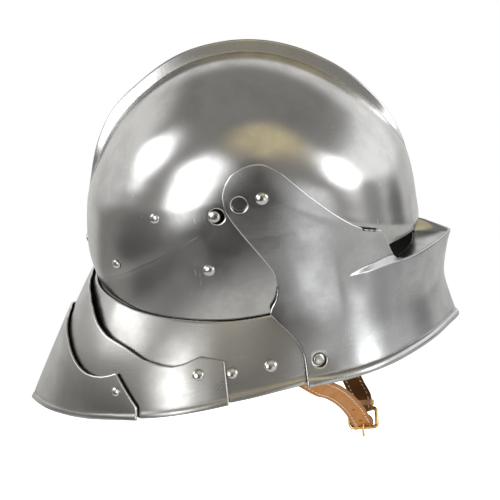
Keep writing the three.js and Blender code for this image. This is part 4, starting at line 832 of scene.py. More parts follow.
def shelf_point(angle, share):
    """A point of the shelf: straight from the crease on the bowl to the shelf's edge."""
    crease_z, edge_z = smooth_column(VISOR_TABLE, 8, angle), smooth_column(VISOR_TABLE, 2, angle)
    crease = over_bowl_reach(angle, crease_z)
    edge = edge_reach(angle)
    return crease + (edge - crease) * share, crease_z + (edge_z - crease_z) * share


front_angles = crease_end * (1 - np.linspace(0, 1, FRONT_COLUMNS + 1)[1:] ** 0.9)
side_angles = np.linspace(crease_start, crease_end, SIDE_COLUMNS + 1)
angles = np.concatenate([side_angles, front_angles])


def slot_share(angle):
    """Share of the shelf's width at which the sight slot ends it."""
    def above(share):
        reach, z = shelf_point(angle, share)
        x = reach * np.cos(np.radians(angle))
        limit = np.interp(x, [97.0, SLOT_CORNER[0]], [-36.5, SLOT_CORNER[1]])
        return z - limit
    return np.where(angle < crease_end, crossing(above, np.zeros_like(angle), np.ones_like(angle)), 0)


start_share = slot_share(angles)
shelf_levels = np.array([0, 0.03, 0.08, 0.2, 0.35, 0.5, 0.65, 0.8, 0.9, 0.96, 1.0])
share = start_share[:, None] + (1 - start_share[:, None]) * shelf_levels[None]
shelf_angle = np.repeat(angles[:, None], len(shelf_levels), 1)
back_x = np.interp(-38.3, CHEEK_BACK[::-1, 1], CHEEK_BACK[::-1, 0])
shelf_reach, shelf_z = shelf_point(shelf_angle, share)

# The nose of the shelf rises in the middle to rest against the brow.
shelf_x, shelf_y = shelf_reach * np.cos(np.radians(shelf_angle)), shelf_reach * np.sin(np.radians(shelf_angle))
nose_width = 5.6 + 1.6 * np.clip((shelf_x - 123.3) / 7, 0, 1)
nose_share = np.clip((143.6 - shelf_x) / 20.3, 0, 1)
shelf_z = shelf_z + 9.4 * nose_share * (1 + np.cos(np.pi * np.clip(shelf_y / nose_width, 0, 1))) / 2

wall_levels = np.concatenate([[0.012, 0.03, 0.06], np.linspace(0.06, 0.9, 40)[1:], np.linspace(0.9, 1, 20)[1:]])
cheek = along(CHEEK_BACK, 400)
wall_angle = np.repeat(angles[:, None], len(wall_levels), 1)
edge_z = smooth_column(VISOR_TABLE, 2, wall_angle)
for _ in range(2):
    rim_z = smooth_column(VISOR_TABLE, 7, wall_angle)
    wall_z = edge_z + (rim_z - edge_z) * wall_levels[None]
    first_z = wall_z[0]
    back_at = np.interp(-first_z, -cheek[:, 1], cheek[:, 0])
    back_angle = crossing(
        lambda a: back_at - np.maximum(wall_reach(a, first_z), np.where(first_z < -50, over_neck_reach(a, first_z), 0))
        * np.cos(np.radians(a)) < 0, np.full(len(first_z), 60.0), np.full(len(first_z), 103.0))
    side = np.linspace(1, 0, SIDE_COLUMNS + 1)[:, None]
    wall_angle[:SIDE_COLUMNS + 1] = crease_end + (back_angle[None] - crease_end) * side
    edge_z = smooth_column(VISOR_TABLE, 2, wall_angle)
stud_spot, stud_axis = spot_on(neck_depth, *CATCH_HOLE[:2], 1)
catch_x, _, catch_z = stud_spot + stud_axis * (VISOR_GAP + VISOR_PLATE)
catch_angle = float(crossing(
    lambda a: catch_x - wall_reach(np.array(a), np.array(catch_z)) * np.cos(np.radians(a)) < 0, 60.0, 100.0))
catch_scale = float(wall_reach(np.array(catch_angle), np.array(catch_z))) * math.pi / 180
hole_p, wall_z, catch_cut = round_hole(wall_angle * catch_scale, wall_z, (catch_angle * catch_scale, catch_z),
                                       CATCH_HOLE[2], 1.5)
wall_angle = hole_p / catch_scale
wall = wall_reach(wall_angle, wall_z)
over = over_neck_reach(np.maximum(wall_angle, 55.0), wall_z)
lies_over = np.clip((wall_angle - 58) / 6, 0, 1) * np.clip((-46 - wall_z) / 6, 0, 1)
wall = wall + np.maximum(over - wall, 0) * lies_over
rim_z = smooth_column(VISOR_TABLE, 7, wall_angle)
above_rim = wall_z - rim_z
roll_share = np.clip(above_rim / RIM_ROLL_HEIGHT, 0, 1)
roll_fade = np.clip((RIM_ROLL_END - wall_angle) / 6, 0, 1)
swell = np.sqrt(np.clip(1 - (2 * roll_share - 1) ** 2, 0, 1)) * (above_rim < RIM_ROLL_HEIGHT)
wall = wall + RIM_ROLL_RISE * swell * (0.35 + 0.65 * roll_fade)
# The groove mark above the rolled rim darkens it there: dirt and painted shade.
wall_groove = np.exp(-((above_rim - RIM_ROLL_HEIGHT - 0.5) / 0.8) ** 2)


def in_round(reach, angle, z):
    return np.stack([reach * np.cos(np.radians(angle)), reach * np.sin(np.radians(angle)), z], -1)


shelf_points = in_round(shelf_reach, shelf_angle, shelf_z)
wall_points = in_round(wall, wall_angle, wall_z)
front_part = np.concatenate([shelf_points, wall_points], 1)
edge_row = len(shelf_levels) - 1
for _ in range(2):
    near = front_part[:, edge_row - 2:edge_row + 3].copy()
    front_part[:, edge_row - 1:edge_row + 2] = (near[:, :-2] + 2 * near[:, 1:-1] + near[:, 2:]) / 4
front_gone = np.zeros((len(angles) - 1, front_part.shape[1] - 1), bool)
front_gone[:, len(shelf_levels):] = catch_cut
front_groove = np.concatenate([np.zeros(shelf_z.shape), wall_groove], 1)

# The arm: a patch between the crease below, its two edges and its top, stretched evenly between all four
low_edge = shelf_points[:SIDE_COLUMNS + 1, 0][:, [0, 2]]
back_edge = along(ARM_BACK[::-1], ARM_ROWS + 1)
front_edge = along(ARM_FRONT, ARM_ROWS + 1)
top_edge = along(ARM_TOP[::-1], SIDE_COLUMNS + 1)
back_edge[0], front_edge[0] = low_edge[0], low_edge[-1]
s = np.linspace(0, 1, SIDE_COLUMNS + 1)[:, None, None]
t = np.linspace(0, 1, ARM_ROWS + 1)[None, :, None]
arm = ((1 - t) * low_edge[:, None] + t * top_edge[:, None] + (1 - s) * back_edge[None] + s * front_edge[None]
       - (1 - s) * (1 - t) * low_edge[0] - s * (1 - t) * low_edge[-1] - (1 - s) * t * top_edge[0] - s * t * top_edge[-1])
arm_x, arm_z, arm_cut = round_hole(arm[..., 0], arm[..., 1], ARM_HOLE[:2], ARM_HOLE[2], 1.45)
arm_y = crossing(lambda y: over_bowl(arm_x, y, arm_z), np.full(arm_x.shape, 20.0), np.full(arm_x.shape, 130.0))
# the top of the arm stands a little further off, so that it clears the bowl when the visor is lifted
arm_y = arm_y + 0.55 * np.clip((arm_z - 5) / 22, 0, 1)
arm_points = np.stack([arm_x, arm_y, arm_z], -1)
arm_points[:, 0] = front_part[:SIDE_COLUMNS + 1, 0]

# Where the arm runs on into the cheek the hollow between them is filled to a smooth curve: the fill is highest in
# the crease, a quarter of the bend times its half height, and falls with the square of the height away from it.
bend_angles = np.linspace(40, 110, 71)
bend_z = smooth_column(VISOR_TABLE, 2, bend_angles)
bend = ((over_bowl_reach(bend_angles, bend_z + 4) - over_bowl_reach(bend_angles, bend_z)) / 4
        + (wall_reach(bend_angles, bend_z - 20) - wall_reach(bend_angles, bend_z - 3)) / 17)


def filled(points):
    angle = np.degrees(np.arctan2(points[..., 1], points[..., 0]))
    grown = np.clip((angle - 50) / 11, 0, 1)
    half_height = 2 + 26 * grown * grown * (3 - 2 * grown)
    away = np.abs(points[..., 2] - smooth_column(VISOR_TABLE, 2, angle))
    fill = np.interp(angle, bend_angles, bend) * np.clip(half_height - away, 0, None) ** 2 / (4 * half_height)
    out = points[..., :2] / np.maximum(np.hypot(points[..., 0], points[..., 1]), 1e-6)[..., None]
    return points + np.concatenate([out * (fill * (angle > 50))[..., None], np.zeros_like(fill)[..., None]], -1)


front_part, arm_points = filled(front_part), filled(arm_points)

front_columns, front_rows = front_part.shape[:2]
half = np.vstack([front_part.reshape(-1, 3), arm_points.reshape(-1, 3)])
half_cells = np.vstack([
    grid_cells(front_columns, front_rows)[~front_gone.ravel()],
    grid_cells(SIDE_COLUMNS + 1, ARM_ROWS + 1, first=front_columns * front_rows)[~arm_cut.ravel()][:, ::-1],
])
half_groove = np.concatenate([front_groove.ravel(), np.zeros(arm_x.size)])
visor_points = np.vstack([half, half * mirror])
visor_cells = np.vstack([half_cells, half_cells[:, ::-1] + len(half)])
visor_points, visor_cells, visor_marks = merged(visor_points, visor_cells, {"groove": np.tile(half_groove, 2)})
wave = hand_worked(visor_points, 0.07, 52.0, 12)
visor_points = visor_points + facing(visor_points, visor_cells) * wave[:, None]
visor = plate("visor_plate", visor_points, visor_cells, VISOR_PLATE, visor_marks)
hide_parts("visor")
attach(visor, "visor")
visor_steel = plate_steel("visor_steel", (0.57, 0.575, 0.58), (0.38, 0.385, 0.39), 0.18, 0.33, (0.35, 0.35, 1.3), 0.000018)
visor.data.materials.append(visor_steel)

# Rivets: round steel heads, turned and set through the plates, each with a shank 3 mm thick.
# name, face it stands on, x, z, radius and height of the head, depth of the shank, body
SHANK_RADIUS, HOLE_GAP = 1.5, 0.3
RIVETS = [
    ("rivet_temple", "skull", -65.7, 28.0, 3.9, 2.2, 2.6, "helmet"),
    ("rivet_side", "skull", -34.4, -14.2, 4.4, 2.4, 2.6, "helmet"),
    ("rivet_rear", "skull", -102.0, -7.0, 3.8, 2.2, 2.6, "helmet"),
    ("rivet_strap", "lame_1", -3.5, -89.3, 4.8, 2.6, 5.0, "helmet"),
    ("rivet_neck", "lame_1", -31.8, -89.4, 4.25, 2.3, 2.2, "helmet"),
    ("rivet_lame_2", "lame_2", -55.8, -85.8, 4.25, 2.3, 6.2, "helmet"),
    ("rivet_lame_3", "lame_3", -118.5, -93.6, 3.6, 2.0, 7.2, "lame_2"),
    ("pivot", "visor", 12.5, 33.0, 4.6, 2.4, 5.6, "helmet"),
]


def lame_depth(column):
    def depth(x, y, z):
        angle = np.minimum(np.degrees(np.arctan2(np.abs(y), NECK_AXIS_X - x)), LAME_1_END)
        return neck_depth(x, y, z) + smooth_column(NECK_TABLE, column, angle)
    return depth


FACES = {
    "skull": bowl_depth, "lame_1": neck_depth, "lame_2": lame_depth(5), "lame_3": lame_depth(6),
    "visor": lambda x, y, z: bowl_depth(x, y, z) + VISOR_GAP + VISOR_PLATE,
}


def turned(profile, centre, axis, segments=48, wobble=0.0):
    """A turned shape: a profile of radius and height carried round an axis. The ends on the axis are closed."""
    profile = np.array(profile, float)
    first = np.cross(axis, (0.3, 0.2, 0.9))
    first /= np.linalg.norm(first)
    second = np.cross(axis, first)
    angle = np.linspace(0, 2 * np.pi, segments, endpoint=False)[:, None]
    radius = profile[None, :, 0] * (1 + wobble * np.sin(2 * angle + 0.7) + wobble * 0.6 * np.sin(3 * angle))
    points = (centre + profile[None, :, 1, None] * axis + (radius * np.cos(angle))[..., None] * first
              + (radius * np.sin(angle))[..., None] * second).reshape(-1, 3)
    return points, grid_cells(segments, len(profile), wrap=True)


def dome(radius, height, depth):
    """Profile of a rivet: the shank, the flat under the head, and a head that is a flattened quarter circle."""
    t = np.linspace(0, np.pi / 2, 14)
    head = np.column_stack([radius * np.cos(t), HOLE_GAP + (height - HOLE_GAP) * np.sin(t) ** 0.9])
    shank = [(0, -depth), (SHANK_RADIUS * 0.8, -depth), (SHANK_RADIUS, -depth + 0.3), (SHANK_RADIUS, HOLE_GAP),
             (radius * 0.94, HOLE_GAP), (radius * 0.99, HOLE_GAP + 0.05)]
    head[0, 1] += 0.12
    return np.vstack([shank, head[:-1], [(0, height)]])


def fixing(name, profile, centre, axis, body, wobble=0.0):
    points, cells = turned(profile, centre, axis, wobble=wobble)
    points, cells, _ = merged(points, cells, {})
    # The part of a fixing below the plate's face is marked inside, and the steel paints it near-black: painted shade in
    # the hole.
    made = show(name + "_turned", points, cells, {"inside": (points - centre) @ axis < -0.2})
    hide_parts(name)
    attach(made, body)
    return made


fixings = []
for name, face, x, z, radius, height, depth, body in RIVETS:
    for side, side_name in ((-1, "right"), (1, "left")):
        centre, axis = spot_on(FACES[face], x, z, side)
        fixings.append(fixing(f"{name}_{side_name}", dome(radius, height, depth), centre, axis, body, 0.012))
nape_z = -2.6
nape_angle = math.degrees(math.atan2(nape_z - PIVOT[1], -128 - PIVOT[0])) % 360
nape_x = PIVOT[0] + float(bowl_reach(nape_angle)) * math.cos(math.radians(nape_angle))
fixings.append(fixing("rivet_nape", dome(3.8, 2.2, SKULL_PLATE + 0.6), np.array([nape_x, 0, nape_z]),
                      np.array([-1.0, 0, 0]), "helmet", 0.012))

# Studs: flat-topped steel pins in wide holes. The one in the skull stands beside the visor's arm, and the one
# in the neck lame catches the visor's lower corner. Each has a round foot inside the plate.
CATCH_TRAVEL, CATCH_CLEARANCE = 3.4, 1.0


def stud_profile(radius, top, neck, foot, domed):
    """Profile of a stud: a wide foot, a straight neck and a top with a turned-down edge."""
    t = np.linspace(0, np.pi / 2, 7)
    ease = 0.9
    shoulder = np.column_stack([radius - ease * (1 - np.cos(t)), top - ease * (1 - np.sin(t))])
    cap = [(radius * share, top + domed * (1 - share**2)) for share in (0.7, 0.5, 0.3, 0.15)]
    return np.vstack([[(0, -neck - 1.2), (foot - 0.3, -neck - 1.2), (foot, -neck - 0.9), (foot, -neck),
                       (radius, -neck)], shoulder, cap, [(0, top + domed)]])


for side, side_name in ((-1, "right"), (1, "left")):
    centre, axis = spot_on(bowl_depth, SPRING_STUD_HOLE[0] - 1.6, SPRING_STUD_HOLE[1] + 0.4, side)
    fixings.append(fixing(f"spring_stud_{side_name}", stud_profile(4.3, 1.1, SKULL_PLATE + 1.5, 8.0, 0.5),
                          centre, axis, "helmet", 0.01))
    centre, axis = spot_on(neck_depth, CATCH_HOLE[0], CATCH_HOLE[1], side)
    fixings.append(fixing(f"catch_stud_{side_name}",
                          stud_profile(4.3, 3.0, LAME_PLATE + CATCH_TRAVEL + CATCH_CLEARANCE, 6.0, 0.35),
                          centre, axis, f"catch_{side_name}", 0.01))
rivet_steel = plate_steel("rivet_steel", (0.66, 0.66, 0.65), (0.54, 0.54, 0.53), 0.16, 0.26, (1.0, 1.0, 1.0), 0.00002)
for made in fixings:
    made.data.materials.append(rivet_steel)

# Chin strap: two strips of tan leather 14 mm wide and 2.2 mm thick, riveted inside the neck lame and sewn along
# both edges with cream thread. The right one has three punched holes. The left one is folded round the buckle.
STRAP_WIDTH, STRAP_THICK = 14.0, 2.2
STRAP_ANCHOR = ((-14, -84.6), (-3.5, -89.3), (7, -94.6))
BILLET_PATH = [
    (17, 97, -106.5), (28.6, 82, -123.3), (35.5, 63, -135.5), (41.5, 45, -149.2), (45.5, 30, -161.6),
    (48.9, 18.5, -173.1), (50.9, 10.6, -183), (52.0, 5.4, -187.8), (52.5, 1.2, -191.2), (52.6, -1.2, -194.0),
    (52.8, -3.8, -194.6), (53.0, -5.4, -191.2), (53.3, -5.6, -186.6),
]
BUCKLE_STRAP_PATH = [
    (17, 97, -106.5), (28.6, 82, -123.3), (36.5, 63, -136), (43.5, 45, -149.5), (48.5, 30, -159.5),
    (51.6, 19, -166.5),
]
BILLET_HOLES, BILLET_HOLE_RADIUS = (0.50, 0.60, 0.70), 1.5
STITCH_PITCH, STITCH_LENGTH, STITCH_RADIUS, STITCH_LINE = 4.8, 3.1, 0.42, 5.0
# The buckle's middle and the lie of its three directions; the upper bar is half a length above the middle
buckle_centre = np.array([53.4, -0.4, -186.2])
buckle_down = np.array([-0.12, -0.4, -0.91]) / np.linalg.norm([-0.12, -0.4, -0.91])
buckle_across = np.array([0.97, -0.04, 0.2])
buckle_across -= buckle_down * (buckle_across @ buckle_down)
buckle_across /= np.linalg.norm(buckle_across)
buckle_out = np.cross(buckle_across, buckle_down)
buckle_out *= -np.sign(buckle_out[1])
BUCKLE_HALF_WIDTH, BUCKLE_HALF_LENGTH, BUCKLE_CORNER, WIRE_RADIUS = 10.6, 7.4, 3.0, 1.5


def on_buckle(across, down, out):
    return (buckle_centre + np.multiply.outer(across, buckle_across) + np.multiply.outer(down, buckle_down)
            + np.multiply.outer(out, buckle_out))


def through(corners, count):
    """Points along a centripetal Catmull-Rom curve through corners, the same number in each span."""
    corners = np.array(corners, float)
    corners = np.vstack([2 * corners[0] - corners[1], corners, 2 * corners[-1] - corners[-2]])
    spans = len(corners) - 3
    at = np.linspace(0, spans, count)
    k = np.minimum(at.astype(int), spans - 1)
    p = [corners[k + n] for n in range(4)]
    knot = [np.zeros(count)]
    for a, b in zip(p[:-1], p[1:]):
        knot.append(knot[-1] + np.maximum(np.linalg.norm(b - a, axis=1) ** 0.5, 1e-4))
    t = knot[1] + (knot[2] - knot[1]) * (at - k)

    def mix(a, b, start, end):
        return ((end - t) / (end - start))[:, None] * a + ((t - start) / (end - start))[:, None] * b

    first = [mix(p[n], p[n + 1], knot[n], knot[n + 1]) for n in range(3)]
    second = [mix(first[n], first[n + 1], knot[n], knot[n + 2]) for n in range(2)]
    return mix(second[0], second[1], knot[1], knot[2])


def strap(name, node, corners, side, holes, end_turn):
    """One strap: a grid along its run and across its width, laid on the outer side of its middle line, with stitches.

    The width turns from the lie of the neck lame to the lie of the buckle over the first half of the run.
    """
    line = through(corners, 900)
    run = np.concatenate([[0], np.cumsum(np.linalg.norm(np.diff(line, axis=0), axis=1))])
    turn = np.clip((np.linspace(0, 1, 900) * end_turn - 0.12) * 3, 0, 1)
    width = np.column_stack([0.62 + 0.38 * turn, -0.26 * side * (1 - turn), 0.75 - 0.6 * turn])
    ahead = np.gradient(line, axis=0)
    ahead /= np.linalg.norm(ahead, axis=1, keepdims=True)
    width -= ahead * (width * ahead).sum(1, keepdims=True)
    width /= np.linalg.norm(width, axis=1, keepdims=True)
    out = np.cross(width, ahead) * side
    steps = int(run[-1] / 0.7)
    places = np.repeat(np.linspace(0, run[-1], steps)[:, None], 21, 1)
    lanes = np.repeat(np.linspace(-1, 1, 21)[None] * STRAP_WIDTH / 2, steps, 0)
    gone = np.zeros((steps - 1, 20), bool)
    for share in holes:
        centre = float(np.interp(share, np.linspace(0, 1, 900), run))
        places, lanes, cut = round_hole(places, lanes, (centre, 0.0), BILLET_HOLE_RADIUS, 2.0)
        gone |= cut
    # the ends are rounded a little
    narrow = 1 - 0.45 * np.clip(1 - (run[-1] - places) / 5, 0, 1) ** 2
    lanes = lanes * narrow

    def laid(places, lanes, rise):
        take = [np.stack([np.interp(places, run, rows[:, axis]) for axis in range(3)], -1) for rows in (line, width, out)]
        return take[0] + take[1] * lanes[..., None] + take[2] * np.asarray(rise)[..., None]

    dip = -0.22 * np.exp(-((np.abs(lanes) - STITCH_LINE) / 0.7) ** 2)
    outer = laid(places, lanes, STRAP_THICK / 2 + dip).reshape(-1, 3)
    inner = laid(places, lanes, np.full(lanes.shape, -STRAP_THICK / 2)).reshape(-1, 3)
    cells = grid_cells(steps, 21)[~gone.ravel()]
    if (facing(outer, cells) * (outer - inner)).sum() < 0:
        cells = cells[:, ::-1]
    made = plate(name, outer, cells, STRAP_THICK,
                 {"crease": np.exp(-((np.abs(lanes) - STITCH_LINE) / 0.8) ** 2).ravel()}, inner)
    starts = np.arange(3.0, run[-1] - 6, STITCH_PITCH)
    bead = np.linspace(0, np.pi, 7)
    ring = np.linspace(0, 2 * np.pi, 8, endpoint=False)
    sewn_places, sewn_lanes, sewn_rises = [], [], []
    for lane, face in ((-STITCH_LINE, 1), (STITCH_LINE, 1), (-STITCH_LINE, -1), (STITCH_LINE, -1)):
        s_run = starts[:, None, None] + STITCH_LENGTH * (1 - np.cos(bead))[None, None] / 2 + 0 * ring[None, :, None]
        swell = STITCH_RADIUS * np.sin(bead).clip(0) ** 0.5
        sewn_places.append(s_run)
        sewn_lanes.append(lane + 0.12 * (s_run - starts[:, None, None] - STITCH_LENGTH / 2) + swell * np.cos(ring)[:, None])
        sewn_rises.append(face * (STRAP_THICK / 2 - 0.1) + swell * np.sin(ring)[:, None] + 0 * s_run)
    places, lanes, rises = (np.concatenate(rows) for rows in (sewn_places, sewn_lanes, sewn_rises))
    thread_points = laid(places, lanes, rises).reshape(-1, 3)
    thread_cells = (grid_cells(8, 7, wrap=True)[None] + 56 * np.arange(len(places))[:, None, None]).reshape(-1, 4)
    middles = np.repeat(thread_points.reshape(-1, 56, 3).mean(1), 56, 0)
    if (facing(thread_points, thread_cells) * (thread_points - middles)).sum() < 0:
        thread_cells = thread_cells[:, ::-1]
    thread_points, thread_cells, _ = merged(thread_points, thread_cells, {}, 0.004)
    return made, show(name + "_thread", thread_points, thread_cells)


anchors = []
for x, z in STRAP_ANCHOR:
    spot, normal = spot_on(neck_depth, x, z, 1)
    anchors.append(spot - normal * (LAME_PLATE + 0.3 + 0.8 + STRAP_THICK / 2))
right_way = np.array([1, -1, 1])
round_bar = on_buckle(np.zeros(9), -BUCKLE_HALF_LENGTH + np.array([-7.5, -3.5, 0, 1.9, 2.7, 1.9, 0, -3.5, -9]),
                      np.array([1.3, 2.2, 2.7, 1.9, 0, -1.9, -2.7, -2.2, -1.3]))
billet, billet_thread = strap(
    "strap_right_leather", "strap_right", np.array([*anchors, *BILLET_PATH]) * right_way, -1, BILLET_HOLES, 1.0)
fold, fold_thread = strap(
    "strap_left_leather", "strap_left", np.array([*anchors, *BUCKLE_STRAP_PATH, *round_bar]), 1, (), 1.6)

# Keeper: a loop of paler leather that holds the fold of the left strap together above the buckle.
KEEPER_WALL, KEEPER_RISE, KEEPER_HALF = 1.3, 4.4, 2.2


def band(name, half_width, half_thick, corner, section, above):
    """A closed band: a section of (outward, down) points carried round a rounded oblong about the buckle's middle."""
    turns = np.radians(np.concatenate([np.linspace(0, 90, 9) + 90 * k for k in range(4)]))
    corner_across = np.repeat([1, -1, -1, 1], 9) * (half_width - corner)
    corner_other = np.repeat([1, 1, -1, -1], 9) * (half_thick - corner)
    section = np.array(section)
    across = corner_across[:, None] + (corner + section[None, :, 0]) * np.cos(turns)[:, None]
    other = corner_other[:, None] + (corner + section[None, :, 0]) * np.sin(turns)[:, None]
    beside = np.broadcast_to(section[None, :, 1], across.shape)
    points = above(across, other, beside).reshape(-1, 3)
    columns, rows = across.shape
    i, j = np.meshgrid(np.arange(columns), np.arange(rows), indexing="ij")
    k, m = (i + 1) % columns, (j + 1) % rows
    cells = np.stack([i * rows + j, k * rows + j, k * rows + m, i * rows + m], -1).reshape(-1, 4)
    centre = points.mean(0)
    if (facing(points, cells) * (points - centre)).sum() < 0:
        cells = cells[:, ::-1]
    return show(name, points, cells)


around_keeper = np.radians(np.arange(0, 360, 20))
keeper = band(
    "keeper_leather", STRAP_WIDTH / 2 + 0.6, 2.5 + 0.6, 1.6,
    np.column_stack([KEEPER_WALL / 2 + KEEPER_WALL / 2 * np.sign(np.cos(around_keeper)) * np.abs(np.cos(around_keeper)) ** 0.6,
                     KEEPER_HALF * np.sign(np.sin(around_keeper)) * np.abs(np.sin(around_keeper)) ** 0.35]),
    lambda across, other, beside: on_buckle(across, beside - BUCKLE_HALF_LENGTH - KEEPER_RISE, other))

# Leather: tan on the grain side, darker at the cut edges and along the stitches, brown inside.
hide = bpy.data.node_groups.new("leather_grain", "ShaderNodeTree")
for socket_name in ("Grain side", "Cut edge", "Flesh side"):
    hide.interface.new_socket(socket_name, in_out="INPUT", socket_type="NodeSocketColor")
for socket_name, socket_type in (
    ("Color", "NodeSocketColor"), ("Roughness", "NodeSocketFloat"), ("Height", "NodeSocketFloat"),
):
    hide.interface.new_socket(socket_name, in_out="OUTPUT", socket_type=socket_type)
entry = put(hide, "NodeGroupInput")
leave = put(hide, "NodeGroupOutput")
place = put(hide, "ShaderNodeTexCoord")
pores = put(hide, "ShaderNodeTexVoronoi", feature="F1", sockets={2: 1100.0})
mottle = put(hide, "ShaderNodeTexNoise", sockets={2: 130.0, 3: 5.0, 4: 0.6})
edge_mark, crease_mark, inside_mark = (
    put(hide, "ShaderNodeAttribute", attribute_name=name) for name in ("edge", "crease", "inside"))
shade = put(hide, "ShaderNodeMapRange", sockets={1: 0.35, 2: 0.75, 3: 0.0, 4: 0.45})
mottled = put(hide, "ShaderNodeMix", data_type="RGBA")
soiled = put(hide, "ShaderNodeMix", data_type="RGBA")
soil = put(hide, "ShaderNodeMath", operation="MULTIPLY", sockets={1: 0.55})
cut = put(hide, "ShaderNodeMix", data_type="RGBA")
cut_share = put(hide, "ShaderNodeMapRange", sockets={1: 0.2, 2: 1.0, 3: 0.0, 4: 0.85})
turned_over = put(hide, "ShaderNodeMix", data_type="RGBA")
rough = put(hide, "ShaderNodeMapRange", sockets={1: 0.3, 2: 0.7, 3: 0.42, 4: 0.62})
height = put(hide, "ShaderNodeMath", operation="MULTIPLY_ADD", sockets={1: 0.5})
join(hide, place.outputs["Object"], pores.inputs[0], place.outputs["Object"], mottle.inputs[0],
     mottle.outputs[0], shade.inputs[0], shade.outputs[0], mottled.inputs[0],
     entry.outputs["Grain side"], mottled.inputs[6], entry.outputs["Cut edge"], mottled.inputs[7],
     crease_mark.outputs["Fac"], soil.inputs[0], soil.outputs[0], soiled.inputs[0],
     mottled.outputs[2], soiled.inputs[6], entry.outputs["Cut edge"], soiled.inputs[7],
     edge_mark.outputs["Fac"], cut_share.inputs[0], cut_share.outputs[0], cut.inputs[0],
     soiled.outputs[2], cut.inputs[6], entry.outputs["Cut edge"], cut.inputs[7],
     inside_mark.outputs["Fac"], turned_over.inputs[0], cut.outputs[2], turned_over.inputs[6],
     entry.outputs["Flesh side"], turned_over.inputs[7], turned_over.outputs[2], leave.inputs[0],
     mottle.outputs[0], rough.inputs[0], rough.outputs[0], leave.inputs[1],
     pores.outputs["Distance"], height.inputs[0], mottle.outputs[0], height.inputs[2], height.outputs[0], leave.inputs[2])


def leather(name, grain_side, cut_edge, flesh_side):
    finish = bpy.data.materials.new(name)
    finish.use_nodes = True
    tree = finish.node_tree
    shader = tree.nodes["Principled BSDF"]
    grained = put(tree, "ShaderNodeGroup", node_tree=hide,
                  sockets={0: (*grain_side, 1), 1: (*cut_edge, 1), 2: (*flesh_side, 1)})
    bump = put(tree, "ShaderNodeBump", sockets={0: 1.0, 1: 0.00025})
    join(tree, grained.outputs[0], shader.inputs["Base Color"], grained.outputs[1], shader.inputs["Roughness"],
         grained.outputs[2], bump.inputs["Height"], bump.outputs[0], shader.inputs["Normal"])
    return finish


tan_leather = leather("tan_leather", (0.58, 0.225, 0.036), (0.34, 0.125, 0.024), (0.19, 0.075, 0.018))
keeper_leather = leather("pale_leather", (0.56, 0.29, 0.15), (0.30, 0.13, 0.06), (0.24, 0.105, 0.035))
thread_finish = leather("cream_thread", (0.92, 0.80, 0.62), (0.70, 0.56, 0.38), (0.5, 0.4, 0.3))
for made, node in ((billet, "strap_right"), (fold, "strap_left"), (keeper, "strap_keeper")):
    made.data.materials.append(keeper_leather if made == keeper else tan_leather)
    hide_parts(node)
    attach(made, "helmet")
for made, node in ((billet_thread, "strap_right"), (fold_thread, "strap_left")):
    made.data.materials.append(thread_finish)
    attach(made, "helmet")

# Buckle: a frame of brass wire 3 mm thick and a brass tongue through the billet, both with patches of dull tarnish.
TONGUE_RADIUS = 1.1


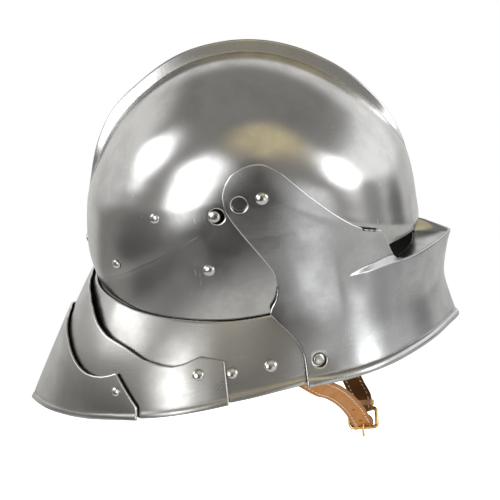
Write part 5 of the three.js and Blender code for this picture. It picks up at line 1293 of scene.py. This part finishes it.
def wire(name, line, radii, closed):
    """Round wire along a line, with rounded ends where it isn't closed."""
    line, radii = np.array(line, float), np.array(radii, float)
    ahead = np.roll(line, -1, 0) - np.roll(line, 1, 0) if closed else np.gradient(line, axis=0)
    ahead /= np.linalg.norm(ahead, axis=1, keepdims=True)
    side = np.cross(ahead, buckle_out)
    flat = np.linalg.norm(side, axis=1) < 0.05
    side[flat] = buckle_across
    side /= np.linalg.norm(side, axis=1, keepdims=True)
    other = np.cross(ahead, side)
    ring = np.linspace(0, 2 * np.pi, 20, endpoint=False)
    points = (line[:, None] + radii[:, None, None] * (side[:, None] * np.cos(ring)[None, :, None]
                                                     + other[:, None] * np.sin(ring)[None, :, None])).reshape(-1, 3)
    columns = len(line)
    i, j = np.meshgrid(np.arange(columns if closed else columns - 1), np.arange(20), indexing="ij")
    k, m = (i + 1) % columns, (j + 1) % 20
    cells = np.stack([i * 20 + j, k * 20 + j, k * 20 + m, i * 20 + m], -1).reshape(-1, 4)
    points, cells, _ = merged(points, cells, {}, 0.004)
    normals = facing(points, cells)
    nearest = np.argmin(((points[:, None] - line[None]) ** 2).sum(-1), 1)
    if (normals * (points - line[nearest])).sum() < 0:
        cells = cells[:, ::-1]
    return show(name, points, cells)


corner_turns = np.radians(np.concatenate([np.linspace(0, 90, 10) + 90 * k for k in range(4)]))
frame_line = on_buckle(
    np.repeat([1, -1, -1, 1], 10) * (BUCKLE_HALF_WIDTH - BUCKLE_CORNER) + BUCKLE_CORNER * np.cos(corner_turns),
    np.repeat([1, 1, -1, -1], 10) * (BUCKLE_HALF_LENGTH - BUCKLE_CORNER) + BUCKLE_CORNER * np.sin(corner_turns),
    np.zeros(40))
buckle_frame = wire("buckle_frame_brass", frame_line, np.full(40, WIRE_RADIUS), True)
tongue_line = through(on_buckle(np.zeros(5), np.array([-3.2, 1.5, 6.0, 10.0, 14.8]),
                                np.array([0.2, 2.4, 4.1, 4.0, 2.9])), 40)
rounded = np.sqrt(np.clip(1 - (1 - np.clip(np.minimum(np.arange(40), 39 - np.arange(40)) / 3, 0, 1)) ** 2, 0, 1))
tongue = wire("buckle_tongue_brass", tongue_line, TONGUE_RADIUS * rounded * np.linspace(1.0, 0.8, 40), False)
brass = bpy.data.materials.new("brass")
brass.use_nodes = True
brass_tree = brass.node_tree
brass_shader = brass_tree.nodes["Principled BSDF"]
brass_shader.inputs["Metallic"].default_value = 1.0
brass_rubbed = put(brass_tree, "ShaderNodeGroup", node_tree=satin, sockets={
    0: (1.0, 1.0, 1.0), 1: (0.86, 0.58, 0.20, 1), 2: (0.55, 0.31, 0.08, 1), 3: 0.14, 4: 0.30})
brass_bump = put(brass_tree, "ShaderNodeBump", sockets={0: 1.0, 1: 0.00002})
join(brass_tree, brass_rubbed.outputs[0], brass_shader.inputs["Base Color"],
     brass_rubbed.outputs[1], brass_shader.inputs["Roughness"],
     brass_rubbed.outputs[2], brass_bump.inputs["Height"], brass_bump.outputs[0], brass_shader.inputs["Normal"])
for made, node in ((buckle_frame, "buckle_frame"), (tongue, "buckle_tongue")):
    made.data.materials.append(brass)
    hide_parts(node)
    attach(made, "helmet")
